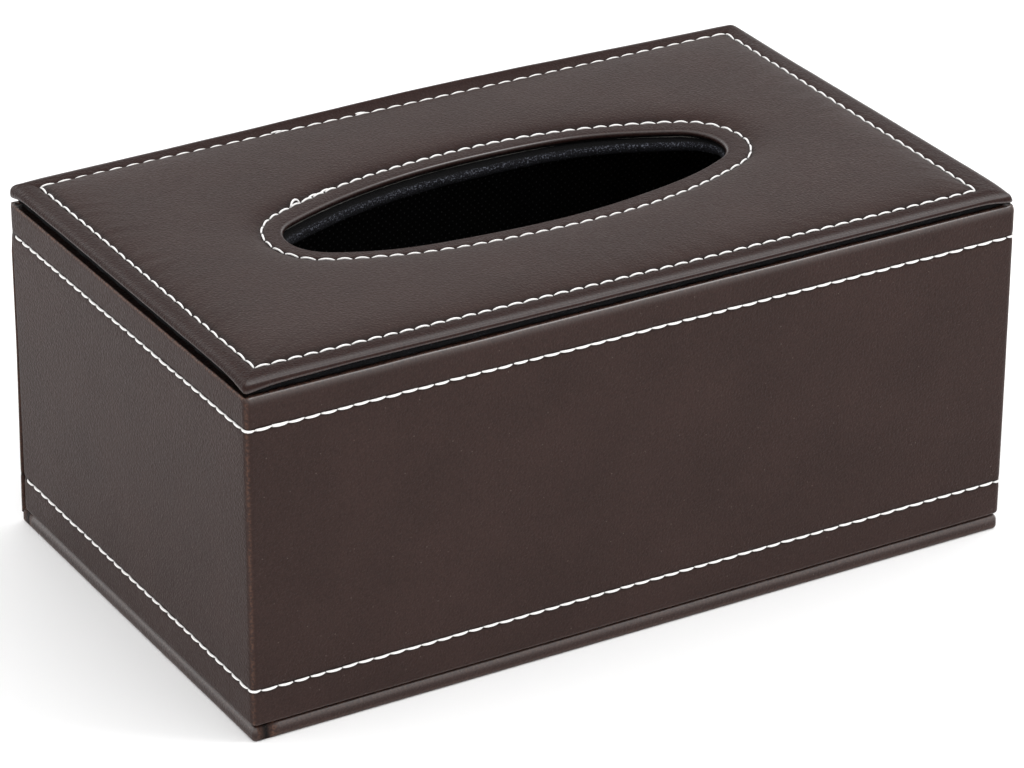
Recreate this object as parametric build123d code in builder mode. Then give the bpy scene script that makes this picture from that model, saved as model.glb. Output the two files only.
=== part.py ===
from build123d import *
from math import atan2, degrees
import os

os.makedirs("parts", exist_ok=True)

# A leather-covered tissue box, in millimetres. X runs along the long front, -Y is the front, +Z is up,
# and the box stands on z = 0. The lid is fixed. The base is a flap that hinges on its leather at the back.

# Walls, measured over the leather
body_length = 250.0
body_width = 152.0
wall_height = 100.9
wall_board_thickness = 4.0

# Leather
skin = 0.8
turn_in = 12.0  # leather folded over the wall edges and glued inside
corner_radius = 1.6  # upright corners, over the leather
edge_radius = 1.4  # top and bottom edges, over the leather
board_corner_radius = 0.8
lid_leather = 0.6  # the lid's leather is thinner

# Cloth inside the walls and on the flap
lining = 0.6

# Base flap
base_board_thickness = 3.0
base_inset = 0.3
base_corner_radius = 1.4
base_edge_radius = 1.2
base_turn_in = 15.0
flap_gap = 0.4  # air between the shut flap and the wall edges

# Back panel and the leather hinge
back_lap = 10.0  # side leather that runs round each back corner, under the back panel
back_inset = 0.4
back_free_height = 60.0  # below this height the back leather hangs free and leans out to the hinge
hinge_drop = 2.4  # how far the hinge stands behind the walls
hinge_lap = 1.6  # leather above and below the crease that bends as the flap swings
hinge_clearance = 0.15  # from the outer face of the leather to the axis that it folds about
back_edge_radius = 0.7

# Lid
lid_board_thickness = 1.2
lid_corner_radius = 2.4
lid_edge_radius = 1.1
lid_turn_in = 15.0
slot_length = 145.0
slot_width = 51.5
slot_end_radius = 12.5
slot_turn_in = 9.0
slot_edge_radius = 1.2

# Foam pad under the lid's leather, between its two seams
end_seam_margin = 7.5
side_seam_margin = 6.0
slot_seam_margin = 6.8
pad_height = 2.0
pad_step = 0.3  # height of the foam where its shoulder begins
pad_shoulder = 9.0
pad_top_radius = 14.0

# Felt liner: a card in black felt that lies on the walls and carries the lid
liner_thickness = 2.9
felt = 0.8
liner_margin = 2.2  # from the outline of the walls
liner_overhang = 1.0  # felt that shows inside the slot

# Sewn rows, as plain raised bands
thread_width = 1.0
thread_height = 0.4
upper_row_drop = 9.5  # below the top of the walls
lower_row_rise = 11.2  # above the bottom of the walls

# Brads, of the square kind that a nail gun drives, and magnets
brad_width = 1.2
brad_clearance = 0.05
wall_brad_length = 18.0
wall_brad_margin = 15.0
wall_brad_rows = 3
lid_brad_length = 14.0
lid_brad_inset = 3.7  # from the outline of the walls
lid_brad_spacing = 60.0
lid_brad_columns = 4
end_brad_offset = 35.0
magnet_length = 20.0
magnet_width = 3.0
wall_magnet_height = 5.0
base_magnet_height = 2.0
magnet_offset = 60.0

# Heights
base_thickness = base_board_thickness + 2 * skin
wall_bottom = base_thickness + flap_gap
wall_top = wall_bottom + wall_height
board_bottom = wall_bottom + skin
board_top = wall_top - skin
board_height = board_top - board_bottom
lid_bottom = wall_top + liner_thickness
lid_board_bottom = lid_bottom + lid_leather
lid_board_top = lid_board_bottom + lid_board_thickness
lid_top = lid_board_top + lid_leather
upper_row = wall_top - upper_row_drop
lower_row = wall_bottom + lower_row_rise

# Plans, outside to inside
board_length = body_length - 2 * skin
board_width = body_width - 2 * skin
inner_length = board_length - 2 * wall_board_thickness
inner_width = board_width - 2 * wall_board_thickness
cavity_length = inner_length - 2 * skin
cavity_width = inner_width - 2 * skin
liner_length = body_length - 2 * liner_margin
liner_width = body_width - 2 * liner_margin
lid_board_length = body_length - 2 * lid_leather
lid_board_width = body_width - 2 * lid_leather
lid_board_radius = lid_corner_radius - lid_leather
lid_turn_in_length = body_length - 2 * lid_turn_in
lid_turn_in_width = body_width - 2 * lid_turn_in
lap_start = body_length / 2 - back_lap
back_half = body_length / 2 - back_inset
hinge_back = body_width / 2 + hinge_drop
strip_top = wall_bottom + hinge_lap
strip_low = base_thickness - hinge_lap

# Centre lines of the wall boards, where their brads and magnets go, and the lines of the lid's brads
long_wall_line = (board_width - wall_board_thickness) / 2
end_wall_line = (board_length - wall_board_thickness) / 2
long_lid_line = body_width / 2 - lid_brad_inset
end_lid_line = body_length / 2 - lid_brad_inset

# The hinge stands behind the walls, so the walls sit a little forward of the origin
body_y = -hinge_drop / 2
hinge_axis_y = body_y + hinge_back + hinge_clearance
hinge_axis_z = base_thickness + flap_gap / 2

brad_hole = brad_width + 2 * brad_clearance
wall_brad_step = (board_height - 2 * wall_brad_margin) / (wall_brad_rows - 1)
wall_brad_levels = [board_bottom + wall_brad_margin + row * wall_brad_step for row in range(wall_brad_rows)]
wall_brad_points = [(side * end_wall_line, level) for side in (-1, 1) for level in wall_brad_levels]
lid_brad_start = -(lid_brad_columns - 1) / 2 * lid_brad_spacing
lid_brad_places = [lid_brad_start + column * lid_brad_spacing for column in range(lid_brad_columns)]
long_brad_points = [(x, side * long_lid_line) for side in (-1, 1) for x in lid_brad_places]
end_brad_points = [(end * end_lid_line, side * end_brad_offset) for end in (-1, 1) for side in (-1, 1)]


def plan(height):
    """The level plane at a height, centred on the walls."""
    return Plane((0, body_y, height))


def profile():
    """The upright plane across the middle of the box: its x runs backwards and its y runs up."""
    return Plane((0, body_y, 0), x_dir=(0, 1, 0), z_dir=(1, 0, 0))


def face_plane(side):
    """The outer face of the front boards (side -1) or of the back boards (side 1), looking out."""
    return Plane((0, body_y + side * board_width / 2, 0), x_dir=(-side, 0, 0), z_dir=(0, side, 0))


def block(length, width, bottom, top, mode=Mode.ADD, radius=0.0):
    """An upright block centred on the walls, with its corners rounded if a radius is given."""
    with BuildSketch(plan(bottom)) as outline:
        if radius > 0:
            RectangleRounded(length, width, radius)
        else:
            Rectangle(length, width)
    extrude(outline.sketch, amount=top - bottom, mode=mode)


def slot_outline(margin, height):
    """The slot's oval of four tangent arcs, at a height and larger by a margin all round."""
    end_centre = slot_length / 2 - slot_end_radius
    bulge = slot_width / 2 - slot_end_radius
    side_radius = (end_centre**2 + (slot_width / 2) ** 2 - slot_end_radius**2) / (2 * bulge)
    side_centre = side_radius - slot_width / 2
    turn = degrees(atan2(side_centre, end_centre))
    with BuildSketch(plan(height)) as outline:
        with BuildLine():
            CenterArc((end_centre, 0), slot_end_radius + margin, -turn, 2 * turn)
            CenterArc((0, -side_centre), side_radius + margin, turn, 180 - 2 * turn)
            CenterArc((-end_centre, 0), slot_end_radius + margin, 180 - turn, 2 * turn)
            CenterArc((0, side_centre), side_radius + margin, 180 + turn, 180 - 2 * turn)
        make_face()
    return outline.sketch


def slot_block(margin, bottom, top, mode):
    """An upright oval block, larger than the slot by a margin all round."""
    extrude(slot_outline(margin, bottom), amount=top - bottom, mode=mode)


def wall_brad_bars(width, sides, mode):
    """The bars of the corner brads, from the outer face of the long boards into the end boards."""
    for side in sides:
        with BuildSketch(face_plane(side)) as outline:
            with Locations(*wall_brad_points):
                Rectangle(width, width)
        extrude(outline.sketch, amount=-wall_brad_length, mode=mode)


def lid_brad_bars(width, points, mode):
    """The bars of the lid's brads, from the top of the lid board down into the walls."""
    with BuildSketch(plan(lid_board_top)) as outline:
        with Locations(*points):
            Rectangle(width, width)
    extrude(outline.sketch, amount=-lid_brad_length, mode=mode)


def magnet_blocks(bottom, height, mode):
    """Two bar magnets under the front wall, one near each end."""
    with BuildSketch(plan(bottom)) as outline:
        with Locations((-magnet_offset, -long_wall_line), (magnet_offset, -long_wall_line)):
            Rectangle(magnet_length, magnet_width)
    extrude(outline.sketch, amount=height, mode=mode)


def back_face(height):
    """How far behind the walls' centre the outer face of the back leather stands at a height."""
    lean = (back_free_height - height) / (back_free_height - strip_top)
    return body_width / 2 + skin + max(lean, 0.0) * (hinge_drop - skin)


def sewn_row(height):
    """A sewn row at a height: one thread round the front and the ends, and one across the back panel."""
    low = height - thread_width / 2
    high = height + thread_width / 2
    over_length = body_length + 2 * thread_height
    over_width = body_width + 2 * thread_height
    block(over_length, over_width, low, high, Mode.ADD, corner_radius + thread_height)
    block(body_length, body_width, low, high, Mode.SUBTRACT, corner_radius)
    with BuildSketch(plan(low)) as outline:
        with Locations((0, body_width / 2)):
            Rectangle(2 * body_length, 2 * corner_radius)
    extrude(outline.sketch, amount=thread_width, mode=Mode.SUBTRACT)
    with BuildSketch(profile()) as outline:
        with BuildLine():
            Polyline(
                (back_face(low), low),
                (back_face(low) + thread_height, low),
                (back_face(high) + thread_height, high),
                (back_face(high), high),
                close=True,
            )
        make_face()
    extrude(outline.sketch, amount=back_half, both=True)


def long_wall(side):
    """Trims the part being built to the board of the front (side -1) or of the back (side 1)."""
    with BuildSketch(plan(board_bottom)) as outline:
        with Locations((0, side * long_wall_line)):
            Rectangle(board_length, wall_board_thickness)
    extrude(outline.sketch, amount=board_height, mode=Mode.INTERSECT)


def end_wall(side):
    """The board of the left end (side -1) or of the right end (side 1), with its brad holes."""
    with BuildSketch(plan(board_bottom)) as outline:
        with Locations((side * end_wall_line, 0)):
            Rectangle(wall_board_thickness, inner_width)
    extrude(outline.sketch, amount=board_height)
    wall_brad_bars(brad_hole, (-1, 1), Mode.SUBTRACT)
    lid_brad_bars(brad_hole, end_brad_points, Mode.SUBTRACT)


# Front wall: a fibreboard panel with notches for the two upper magnets
with BuildPart() as front_wall_board:
    block(board_length, board_width, board_bottom, board_top, radius=board_corner_radius)
    long_wall(-1)
    wall_brad_bars(brad_hole, (-1,), Mode.SUBTRACT)
    lid_brad_bars(brad_hole, long_brad_points, Mode.SUBTRACT)
    magnet_blocks(board_bottom, wall_magnet_height, Mode.SUBTRACT)

# Back wall
with BuildPart() as back_wall_board:
    block(board_length, board_width, board_bottom, board_top, radius=board_corner_radius)
    long_wall(1)
    wall_brad_bars(brad_hole, (1,), Mode.SUBTRACT)
    lid_brad_bars(brad_hole, long_brad_points, Mode.SUBTRACT)

# End walls, butted between the long ones
with BuildPart() as left_wall_board:
    end_wall(-1)

with BuildPart() as right_wall_board:
    end_wall(1)

# Brads through the long boards into the edges of the end boards
with BuildPart() as wall_brads:
    wall_brad_bars(brad_width, (-1, 1), Mode.ADD)

# Magnets in the front wall's bottom edge
with BuildPart() as wall_magnets:
    magnet_blocks(board_bottom, wall_magnet_height, Mode.ADD)

# Side leather: one sheet over the front and both ends, folded over the board edges and the back corners
with BuildPart() as side_skin:
    block(body_length, body_width, wall_bottom, wall_top, radius=corner_radius)
    rims = side_skin.faces().filter_by(Axis.Z).edges()
    fillet(rims, radius=edge_radius)
    block(cavity_length, cavity_width, wall_bottom, wall_top, Mode.SUBTRACT)
    with BuildSketch(plan(board_bottom)):
        RectangleRounded(board_length, board_width, board_corner_radius)
        Rectangle(inner_length, inner_width, mode=Mode.SUBTRACT)
    extrude(amount=board_height, mode=Mode.SUBTRACT)
    block(inner_length, inner_width, wall_bottom + turn_in, wall_top - turn_in, Mode.SUBTRACT)
    with BuildSketch(plan(wall_bottom)):
        with Locations((0, body_width / 2)):
            Rectangle(2 * lap_start, body_width - cavity_width)
    extrude(amount=wall_height, mode=Mode.SUBTRACT)
    lid_brad_bars(brad_hole, long_brad_points + end_brad_points, Mode.SUBTRACT)

# Card that fills the back between the side leather's laps
with BuildPart() as back_card:
    with BuildSketch(plan(board_bottom)):
        with Locations((0, (body_width - skin) / 2)):
            Rectangle(2 * lap_start, skin)
    extrude(amount=board_height)

# Back leather: over the card, folded over the top edge, and hanging free near the bottom
with BuildPart() as back_skin:
    with BuildSketch(profile()):
        with BuildLine():
            Polyline(
                (body_width / 2, wall_top),
                (back_face(wall_top), wall_top),
                (back_face(back_free_height), back_free_height),
                (back_face(strip_top), strip_top),
                (back_face(strip_top) - skin, strip_top),
                (body_width / 2, back_free_height),
                close=True,
            )
        make_face()
    extrude(amount=back_half, both=True)
    top_rim = back_skin.edges().filter_by(Axis.X).group_by(Axis.Z)[-1].sort_by(Axis.Y)[-1]
    fillet(top_rim, radius=back_edge_radius)
    with BuildSketch(profile()):
        with BuildLine():
            Polyline(
                (body_width / 2, wall_top),
                (cavity_width / 2, wall_top),
                (cavity_width / 2, wall_top - turn_in),
                (inner_width / 2, wall_top - turn_in),
                (inner_width / 2, board_top),
                (body_width / 2, board_top),
                close=True,
            )
        make_face()
    extrude(amount=lap_start, both=True)
    lid_brad_bars(brad_hole, long_brad_points, Mode.SUBTRACT)

# Cloth inside the walls. At the back it also covers the bottom edge of the board, where no leather
# folds in.
lining_low = wall_bottom + turn_in
lining_high = wall_top - turn_in

with BuildPart() as wall_lining:
    block(inner_length, inner_width, lining_low, lining_high)
    with BuildSketch(profile()):
        with BuildLine():
            Polyline(
                (inner_width / 2 - lining, lining_low),
                (inner_width / 2, lining_low),
                (inner_width / 2, board_bottom),
                (board_width / 2, board_bottom),
                (board_width / 2, board_bottom - lining),
                (inner_width / 2 - lining, board_bottom - lining),
                close=True,
            )
        make_face()
    extrude(amount=lap_start, both=True)
    block(inner_length - 2 * lining, inner_width - 2 * lining, lining_low, lining_high, Mode.SUBTRACT)

# Lid board with the oval cut-out
with BuildPart() as lid_board:
    block(lid_board_length, lid_board_width, lid_board_bottom, lid_board_top, radius=lid_board_radius)
    slot_block(lid_leather, lid_board_bottom, lid_board_top, Mode.SUBTRACT)
    lid_brad_bars(brad_hole, long_brad_points + end_brad_points, Mode.SUBTRACT)

# Brads through the lid board and the liner into the walls, hidden under the lid's leather
with BuildPart() as lid_brads:
    lid_brad_bars(brad_width, long_brad_points + end_brad_points, Mode.ADD)

# Foam pad: a low crown whose shoulders slope down to the seam along the edge and to the seam round the slot
seam_clearance = thread_width
pad_length = body_length - 2 * (end_seam_margin + seam_clearance)
pad_width = body_width - 2 * (side_seam_margin + seam_clearance)
pad_slot_margin = slot_seam_margin + seam_clearance

with BuildPart() as lid_foam:
    block(pad_length, pad_width, lid_board_top, lid_board_top + pad_step)
    with BuildSketch(plan(lid_board_top + pad_step)):
        Rectangle(pad_length, pad_width)
    with BuildSketch(plan(lid_board_top + pad_height)):
        Rectangle(pad_length - 2 * pad_shoulder, pad_width - 2 * pad_shoulder)
    loft(ruled=True)
    slot_block(pad_slot_margin, lid_board_top, lid_board_top + pad_height, Mode.SUBTRACT)
    slot_crest = lid_foam.faces().sort_by(Axis.Z)[-1].inner_wires().edges()
    slot_wall = lid_foam.faces().sort_by(Axis.Z)[-1]
    chamfer(slot_crest, length=pad_shoulder, length2=pad_height - pad_step, reference=slot_wall)

# Lid leather: stretched over the board and the foam, folded under the edges and down through the slot
with BuildPart() as lid_skin:
    block(body_length, body_width, lid_bottom, lid_top, radius=lid_corner_radius)
    lid_rims = lid_skin.faces().filter_by(Axis.Z).edges()
    fillet(lid_rims, radius=lid_edge_radius)
    slot_block(0, lid_bottom, lid_top, Mode.SUBTRACT)
    slot_rim = lid_skin.faces().sort_by(Axis.Z)[-1].inner_wires().edges()
    fillet(slot_rim, radius=slot_edge_radius)
    add(lid_foam.part.moved(Location((0, 0, lid_leather))))
    pad_crest = lid_skin.faces().sort_by(Axis.Z)[-1].edges()
    fillet(pad_crest, radius=pad_top_radius)
    add(lid_foam.part, mode=Mode.SUBTRACT)
    block(
        lid_board_length, lid_board_width, lid_board_bottom, lid_board_top, Mode.SUBTRACT, lid_board_radius
    )
    slot_block(lid_leather, lid_board_bottom, lid_board_top, Mode.ADD)
    slot_block(0, lid_board_bottom, lid_board_top, Mode.SUBTRACT)
    block(lid_turn_in_length, lid_turn_in_width, lid_bottom, lid_board_bottom, Mode.SUBTRACT)
    slot_block(slot_turn_in, lid_bottom, lid_board_bottom, Mode.ADD)
    slot_block(0, lid_bottom, lid_board_bottom, Mode.SUBTRACT)
    lid_brad_bars(brad_hole, long_brad_points + end_brad_points, Mode.SUBTRACT)

# Card inside the felt liner
with BuildPart() as liner_card:
    block(liner_length - 2 * felt, liner_width - 2 * felt, wall_top + felt, lid_bottom)
    slot_block(felt - liner_overhang, wall_top + felt, lid_bottom, Mode.SUBTRACT)
    lid_brad_bars(brad_hole, long_brad_points + end_brad_points, Mode.SUBTRACT)

# Felt liner: a tray of black felt round the card, whose edge shows as a band inside the slot
with BuildPart() as liner_felt:
    block(liner_length, liner_width, wall_top, lid_bottom)
    slot_block(-liner_overhang, wall_top, lid_bottom, Mode.SUBTRACT)
    add(liner_card.part, mode=Mode.SUBTRACT)
    lid_brad_bars(brad_hole, long_brad_points + end_brad_points, Mode.SUBTRACT)

# Sewn row along the lid's edge
edge_row_length = body_length - 2 * end_seam_margin
edge_row_width = body_width - 2 * side_seam_margin
with BuildPart() as lid_edge_thread:
    with BuildSketch(plan(lid_top)):
        Rectangle(edge_row_length + thread_width, edge_row_width + thread_width)
        Rectangle(edge_row_length - thread_width, edge_row_width - thread_width, mode=Mode.SUBTRACT)
    extrude(amount=thread_height)

# Sewn row round the slot
with BuildPart() as slot_thread:
    slot_block(slot_seam_margin + thread_width / 2, lid_top, lid_top + thread_height, Mode.ADD)
    slot_block(slot_seam_margin - thread_width / 2, lid_top, lid_top + thread_height, Mode.SUBTRACT)

# Sewn rows round the walls
with BuildPart() as upper_band_thread:
    sewn_row(upper_row)

with BuildPart() as lower_band_thread:
    sewn_row(lower_row)

# Crease of the leather hinge, between the back leather and the flap's leather
with BuildPart() as hinge_strip:
    with BuildSketch(profile()):
        with Locations((hinge_back - skin / 2, (strip_low + strip_top) / 2)):
            Rectangle(skin, strip_top - strip_low)
    extrude(amount=back_half, both=True)

# Base flap: its board, leather and cloth reach back to the hinge and stop just short of the walls in front
base_length = body_length - 2 * base_inset
base_width = body_width - base_inset + hinge_drop
base_centre = (hinge_drop + base_inset) / 2


def base_block(trim, bottom, top, mode=Mode.ADD, radius=0.0):
    """An upright block with the flap's outline, smaller by a trim all round."""
    with BuildSketch(plan(bottom)) as outline:
        with Locations((0, base_centre)):
            if radius > 0:
                RectangleRounded(base_length - 2 * trim, base_width - 2 * trim, radius)
            else:
                Rectangle(base_length - 2 * trim, base_width - 2 * trim)
    extrude(outline.sketch, amount=top - bottom, mode=mode)


base_board_top = base_thickness - skin

with BuildPart() as base_board:
    base_block(skin, skin, base_board_top, radius=base_corner_radius - skin)
    magnet_blocks(base_board_top, -base_magnet_height, Mode.SUBTRACT)

with BuildPart() as base_skin:
    base_block(0, 0, base_thickness, radius=base_corner_radius)
    base_rims = base_skin.faces().filter_by(Axis.Z).edges()
    fillet(base_rims, radius=base_edge_radius)
    base_block(skin, skin, base_board_top, Mode.SUBTRACT, base_corner_radius - skin)
    base_block(base_turn_in, base_board_top, base_thickness, Mode.SUBTRACT)
    with BuildSketch(profile()):
        with Locations((hinge_back, (strip_low + base_thickness) / 2)):
            Rectangle(2 * skin, base_thickness - strip_low)
    extrude(amount=body_length / 2, both=True, mode=Mode.SUBTRACT)

with BuildPart() as base_lining:
    base_block(base_turn_in, base_board_top, base_board_top + lining)

with BuildPart() as base_magnets:
    magnet_blocks(base_board_top, -base_magnet_height, Mode.ADD)

pieces = {
    "front_wall_board": front_wall_board,
    "back_wall_board": back_wall_board,
    "left_wall_board": left_wall_board,
    "right_wall_board": right_wall_board,
    "wall_brads": wall_brads,
    "wall_magnets": wall_magnets,
    "side_skin": side_skin,
    "back_card": back_card,
    "back_skin": back_skin,
    "wall_lining": wall_lining,
    "lid_board": lid_board,
    "lid_brads": lid_brads,
    "lid_foam": lid_foam,
    "lid_skin": lid_skin,
    "liner_card": liner_card,
    "liner_felt": liner_felt,
    "lid_edge_thread": lid_edge_thread,
    "slot_thread": slot_thread,
    "upper_band_thread": upper_band_thread,
    "lower_band_thread": lower_band_thread,
    "hinge_strip": hinge_strip,
    "base_board": base_board,
    "base_skin": base_skin,
    "base_lining": base_lining,
    "base_magnets": base_magnets,
}
for name, piece in pieces.items():
    piece.part.label = name
    export_step(piece.part, f"parts/{name}.step")

print("hinge axis at y, z:", round(hinge_axis_y, 3), round(hinge_axis_z, 3))
print("inside of the walls:", cavity_length, cavity_width, "from", base_thickness, "to", wall_top)
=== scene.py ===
# %% [markdown]
# A tissue box is four fibreboard walls in a coat of soft brown leather, with a padded lid that has an oval
# slot, and a base that opens as a flap. The boards, cards, brads and magnets come from the CAD frame. This
# lesson makes what the eye rests on: the leather, the white sewing, the felt, the cloth and the foam. Each
# step says what the piece is on the real box, how it could be made, and why this way was chosen.
# %% Open the frame and keep its box
import random
from math import atan2, cos, exp, hypot, pi, radians, sin

import bmesh
import bpy
from mathutils import Matrix, Quaternion, Vector, noise


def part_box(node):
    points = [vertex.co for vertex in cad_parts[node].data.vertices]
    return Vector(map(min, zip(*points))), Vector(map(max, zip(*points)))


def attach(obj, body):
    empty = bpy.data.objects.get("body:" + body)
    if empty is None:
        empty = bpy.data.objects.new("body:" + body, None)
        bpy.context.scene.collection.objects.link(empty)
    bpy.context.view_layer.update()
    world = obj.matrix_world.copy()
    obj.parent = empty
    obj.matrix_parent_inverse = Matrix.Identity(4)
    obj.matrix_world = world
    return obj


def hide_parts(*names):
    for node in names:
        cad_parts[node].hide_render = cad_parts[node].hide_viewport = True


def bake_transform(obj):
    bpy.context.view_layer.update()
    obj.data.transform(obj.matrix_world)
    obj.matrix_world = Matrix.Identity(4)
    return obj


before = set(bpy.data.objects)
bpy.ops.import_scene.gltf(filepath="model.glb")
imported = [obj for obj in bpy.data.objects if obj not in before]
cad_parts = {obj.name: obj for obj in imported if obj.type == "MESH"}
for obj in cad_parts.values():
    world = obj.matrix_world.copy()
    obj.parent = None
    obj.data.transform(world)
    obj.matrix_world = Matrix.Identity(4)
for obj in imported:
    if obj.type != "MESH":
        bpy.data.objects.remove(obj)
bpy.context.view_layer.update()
mm = 0.001

# %% [markdown]
# The sizes come from the CAD pieces, so that every sheet lands on its board. All shapes below are worked out
# in millimetres, and turned into metres only when a mesh is made.
# %% Read the sizes
def corners_of(node):
    """The lowest and highest corner of a CAD piece, in millimetres."""
    low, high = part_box(node)
    return low / mm, high / mm


def middle_height(node):
    low, high = corners_of(node)
    return (low.z + high.z) / 2


walls_low, walls_high = corners_of("side_skin")
lid_low, lid_high = corners_of("lid_skin")
lid_board_low, lid_board_high = corners_of("lid_board")
strip_low, strip_high = corners_of("hinge_strip")
edge_row_high = corners_of("lid_edge_thread")[1]

skin = 0.8
board = 4.0
row_width = 1.0
mid_y = (walls_low.y + walls_high.y) / 2
half_length = walls_high.x
half_width = walls_high.y - mid_y
wall_bottom = walls_low.z
wall_top = walls_high.z
lid_bottom = lid_low.z
lid_skin = lid_board_low.z - lid_low.z
border_top = lid_board_high.z + lid_skin
pad_height = lid_high.z - border_top
upper_row = middle_height("upper_band_thread")
lower_row = middle_height("lower_band_thread")
edge_row_x = edge_row_high.x - row_width / 2
edge_row_y = edge_row_high.y - mid_y - row_width / 2
print("walls:", 2 * half_length, "by", 2 * half_width, "and the lid's border at", round(border_top, 2))

# %% [markdown]
# The camera stands where the photographer's did: to the left of the front, 26 degrees up, well back with a
# long lens, so that the box's far edges hardly shrink. It comes first, because every later choice is judged
# through it.
# %% Place the camera
view_azimuth = -29.782
view_elevation = 26.18
view_roll = -0.33
view_distance = 1383.4
view_centre = Vector((0.576, mid_y, 47.49))
lens_length = 163.43
scene = bpy.context.scene


def aim(holder, azimuth, elevation, distance, roll=0.0):
    """Turns a camera or lamp to the box from a distance. Azimuth 0 is in front, and 90 is on the right."""
    a = radians(azimuth)
    e = radians(elevation)
    away = Vector((sin(a) * cos(e), -cos(a) * cos(e), sin(e)))
    holder.location = (view_centre + away * distance) * mm
    holder.rotation_mode = "QUATERNION"
    holder.rotation_quaternion = (-away).to_track_quat("-Z", "Y") @ Quaternion((0, 0, 1), radians(roll))
    scene.collection.objects.link(holder)


camera = bpy.data.objects.new("camera", bpy.data.cameras.new("camera"))
aim(camera, view_azimuth, view_elevation, view_distance, view_roll)
camera.data.lens = lens_length
camera.data.sensor_width = 36.0
camera.data.clip_end = 50.0
scene.camera = camera
print("camera at", [round(value, 3) for value in camera.location])

# %% [markdown]
# The box was photographed in a white studio, where light comes from all round. A white surround gives that,
# a large soft lamp overhead draws the bright lines along the rolled leather edges, and a second one on the
# left keeps the end wall lighter than the front.
# %% Light the studio
def softbox(name, azimuth, elevation, distance, size, power):
    """A square lamp that faces the box."""
    lamp = bpy.data.lights.new(name, "AREA")
    lamp.shape = "SQUARE"
    lamp.size = size * mm
    lamp.energy = power
    aim(bpy.data.objects.new(name, lamp), azimuth, elevation, distance)


surround = bpy.data.worlds.new("white_surround")
surround.use_nodes = True
background = surround.node_tree.nodes["Background"]
background.inputs["Color"].default_value = (1, 1, 1, 1)
background.inputs["Strength"].default_value = 1.3
scene.world = surround
scene.view_settings.view_transform = "Standard"
scene.view_settings.look = "None"
softbox("lamp_over", azimuth=50, elevation=53, distance=1500, size=360, power=6)
softbox("lamp_left", azimuth=-80, elevation=35, distance=1600, size=1100, power=1.0)

# %% [markdown]
# A finish is a small chain of nodes: noise and cells, read at the piece's own coordinates in metres, steer
# the colour, the gloss and the fine relief. These helpers keep each finish short. Sizes are given in
# millimetres of the real pattern, so that grain has the right scale on every piece.
# %% Helpers for finishes
def fill(tree, node, inputs):
    """Gives each socket of a node its number, its colour, or a link from another node."""
    for socket, value in inputs.items():
        if isinstance(value, bpy.types.NodeSocket):
            tree.links.new(value, node.inputs[socket])
        else:
            node.inputs[socket].default_value = value


def add_node(tree, kind, inputs, **settings):
    """A new node with its settings and its filled sockets. Returns its outputs."""
    made = tree.nodes.new("ShaderNode" + kind)
    for name, value in settings.items():
        setattr(made, name, value)
    fill(tree, made, inputs)
    return made.outputs


def new_finish(name):
    """A new material, its nodes, and the coordinates of the piece that wears it."""
    material = bpy.data.materials.new(name)
    material.use_nodes = True
    return material, material.node_tree, add_node(material.node_tree, "TexCoord", {})["Object"]


def finished(material, inputs):
    """Fills the shader of a material."""
    fill(material.node_tree, material.node_tree.nodes["Principled BSDF"], inputs)
    print("finish:", material.name)
    return material


def noise_of(tree, place, size, detail=2.0, stretch=(1, 1, 1), turn=(0, 0, 0)):
    """Cloudy noise whose blobs are about size millimetres wide, and longer where stretch is over 1."""
    mapping = {"Vector": place, "Scale": stretch, "Rotation": turn}
    turned = add_node(tree, "Mapping", mapping, vector_type="TEXTURE")["Vector"]
    return add_node(tree, "TexNoise", {"Vector": turned, "Scale": 1 / (size * mm), "Detail": detail})["Fac"]


def cells_of(tree, place, size, randomness=1.0):
    """The distance from the middles of cells that are about size millimetres wide."""
    cells = {"Vector": place, "Scale": 1 / (size * mm), "Randomness": randomness}
    return add_node(tree, "TexVoronoi", cells)["Distance"]


def ramp_of(tree, value, *stops):
    """A value turned into a colour. Each stop is (position, colour)."""
    ramp = tree.nodes.new("ShaderNodeValToRGB")
    for point, (position, colour) in zip(ramp.color_ramp.elements, stops):
        point.position = position
        point.color = (*colour, 1)
    tree.links.new(value, ramp.inputs["Fac"])
    return ramp.outputs["Color"]


def range_of(tree, value, low, high, to_low, to_high):
    """A value moved from one range to another, and held inside it."""
    ends = {"From Min": low, "From Max": high, "To Min": to_low, "To Max": to_high}
    return add_node(tree, "MapRange", {"Value": value, **ends})["Result"]


def maths(tree, operation, first, second):
    """Two values, or a value and a number, put together."""
    return add_node(tree, "Math", {0: first, 1: second}, operation=operation)["Value"]


def mix_of(tree, share, first, second, blend_type="MIX"):
    """Two colours mixed by a share."""
    first, second = [(*colour, 1) if isinstance(colour, tuple) else colour for colour in (first, second)]
    sockets = {0: share, 6: first, 7: second}
    return add_node(tree, "Mix", sockets, data_type="RGBA", blend_type=blend_type)[2]


def mark_of(tree, name):
    """A mark that was painted on the mesh when it was made."""
    return add_node(tree, "Attribute", {}, attribute_name=name)["Fac"]


def relief(tree, height, depth):
    """Fine relief, depth millimetres deep."""
    return add_node(tree, "Bump", {"Height": height, "Strength": 1.0, "Distance": depth * mm})["Normal"]


# %% [markdown]
# The box was photographed on plain white paper, which shows only as a soft shadow round its foot. One flat
# sheet is enough for that.
# %% Lay the floor
floor_mesh = bmesh.new()
bmesh.ops.create_grid(floor_mesh, x_segments=2, y_segments=2, size=6.0)
floor = bpy.data.objects.new("floor", bpy.data.meshes.new("floor"))
floor_mesh.to_mesh(floor.data)
floor_mesh.free()
scene.collection.objects.link(floor)
floor_finish = bpy.data.materials.new("pale_floor")
floor_finish.use_nodes = True
floor.data.materials.append(finished(floor_finish, {"Base Color": (0.98, 0.98, 0.98, 1), "Roughness": 0.9}))

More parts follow.
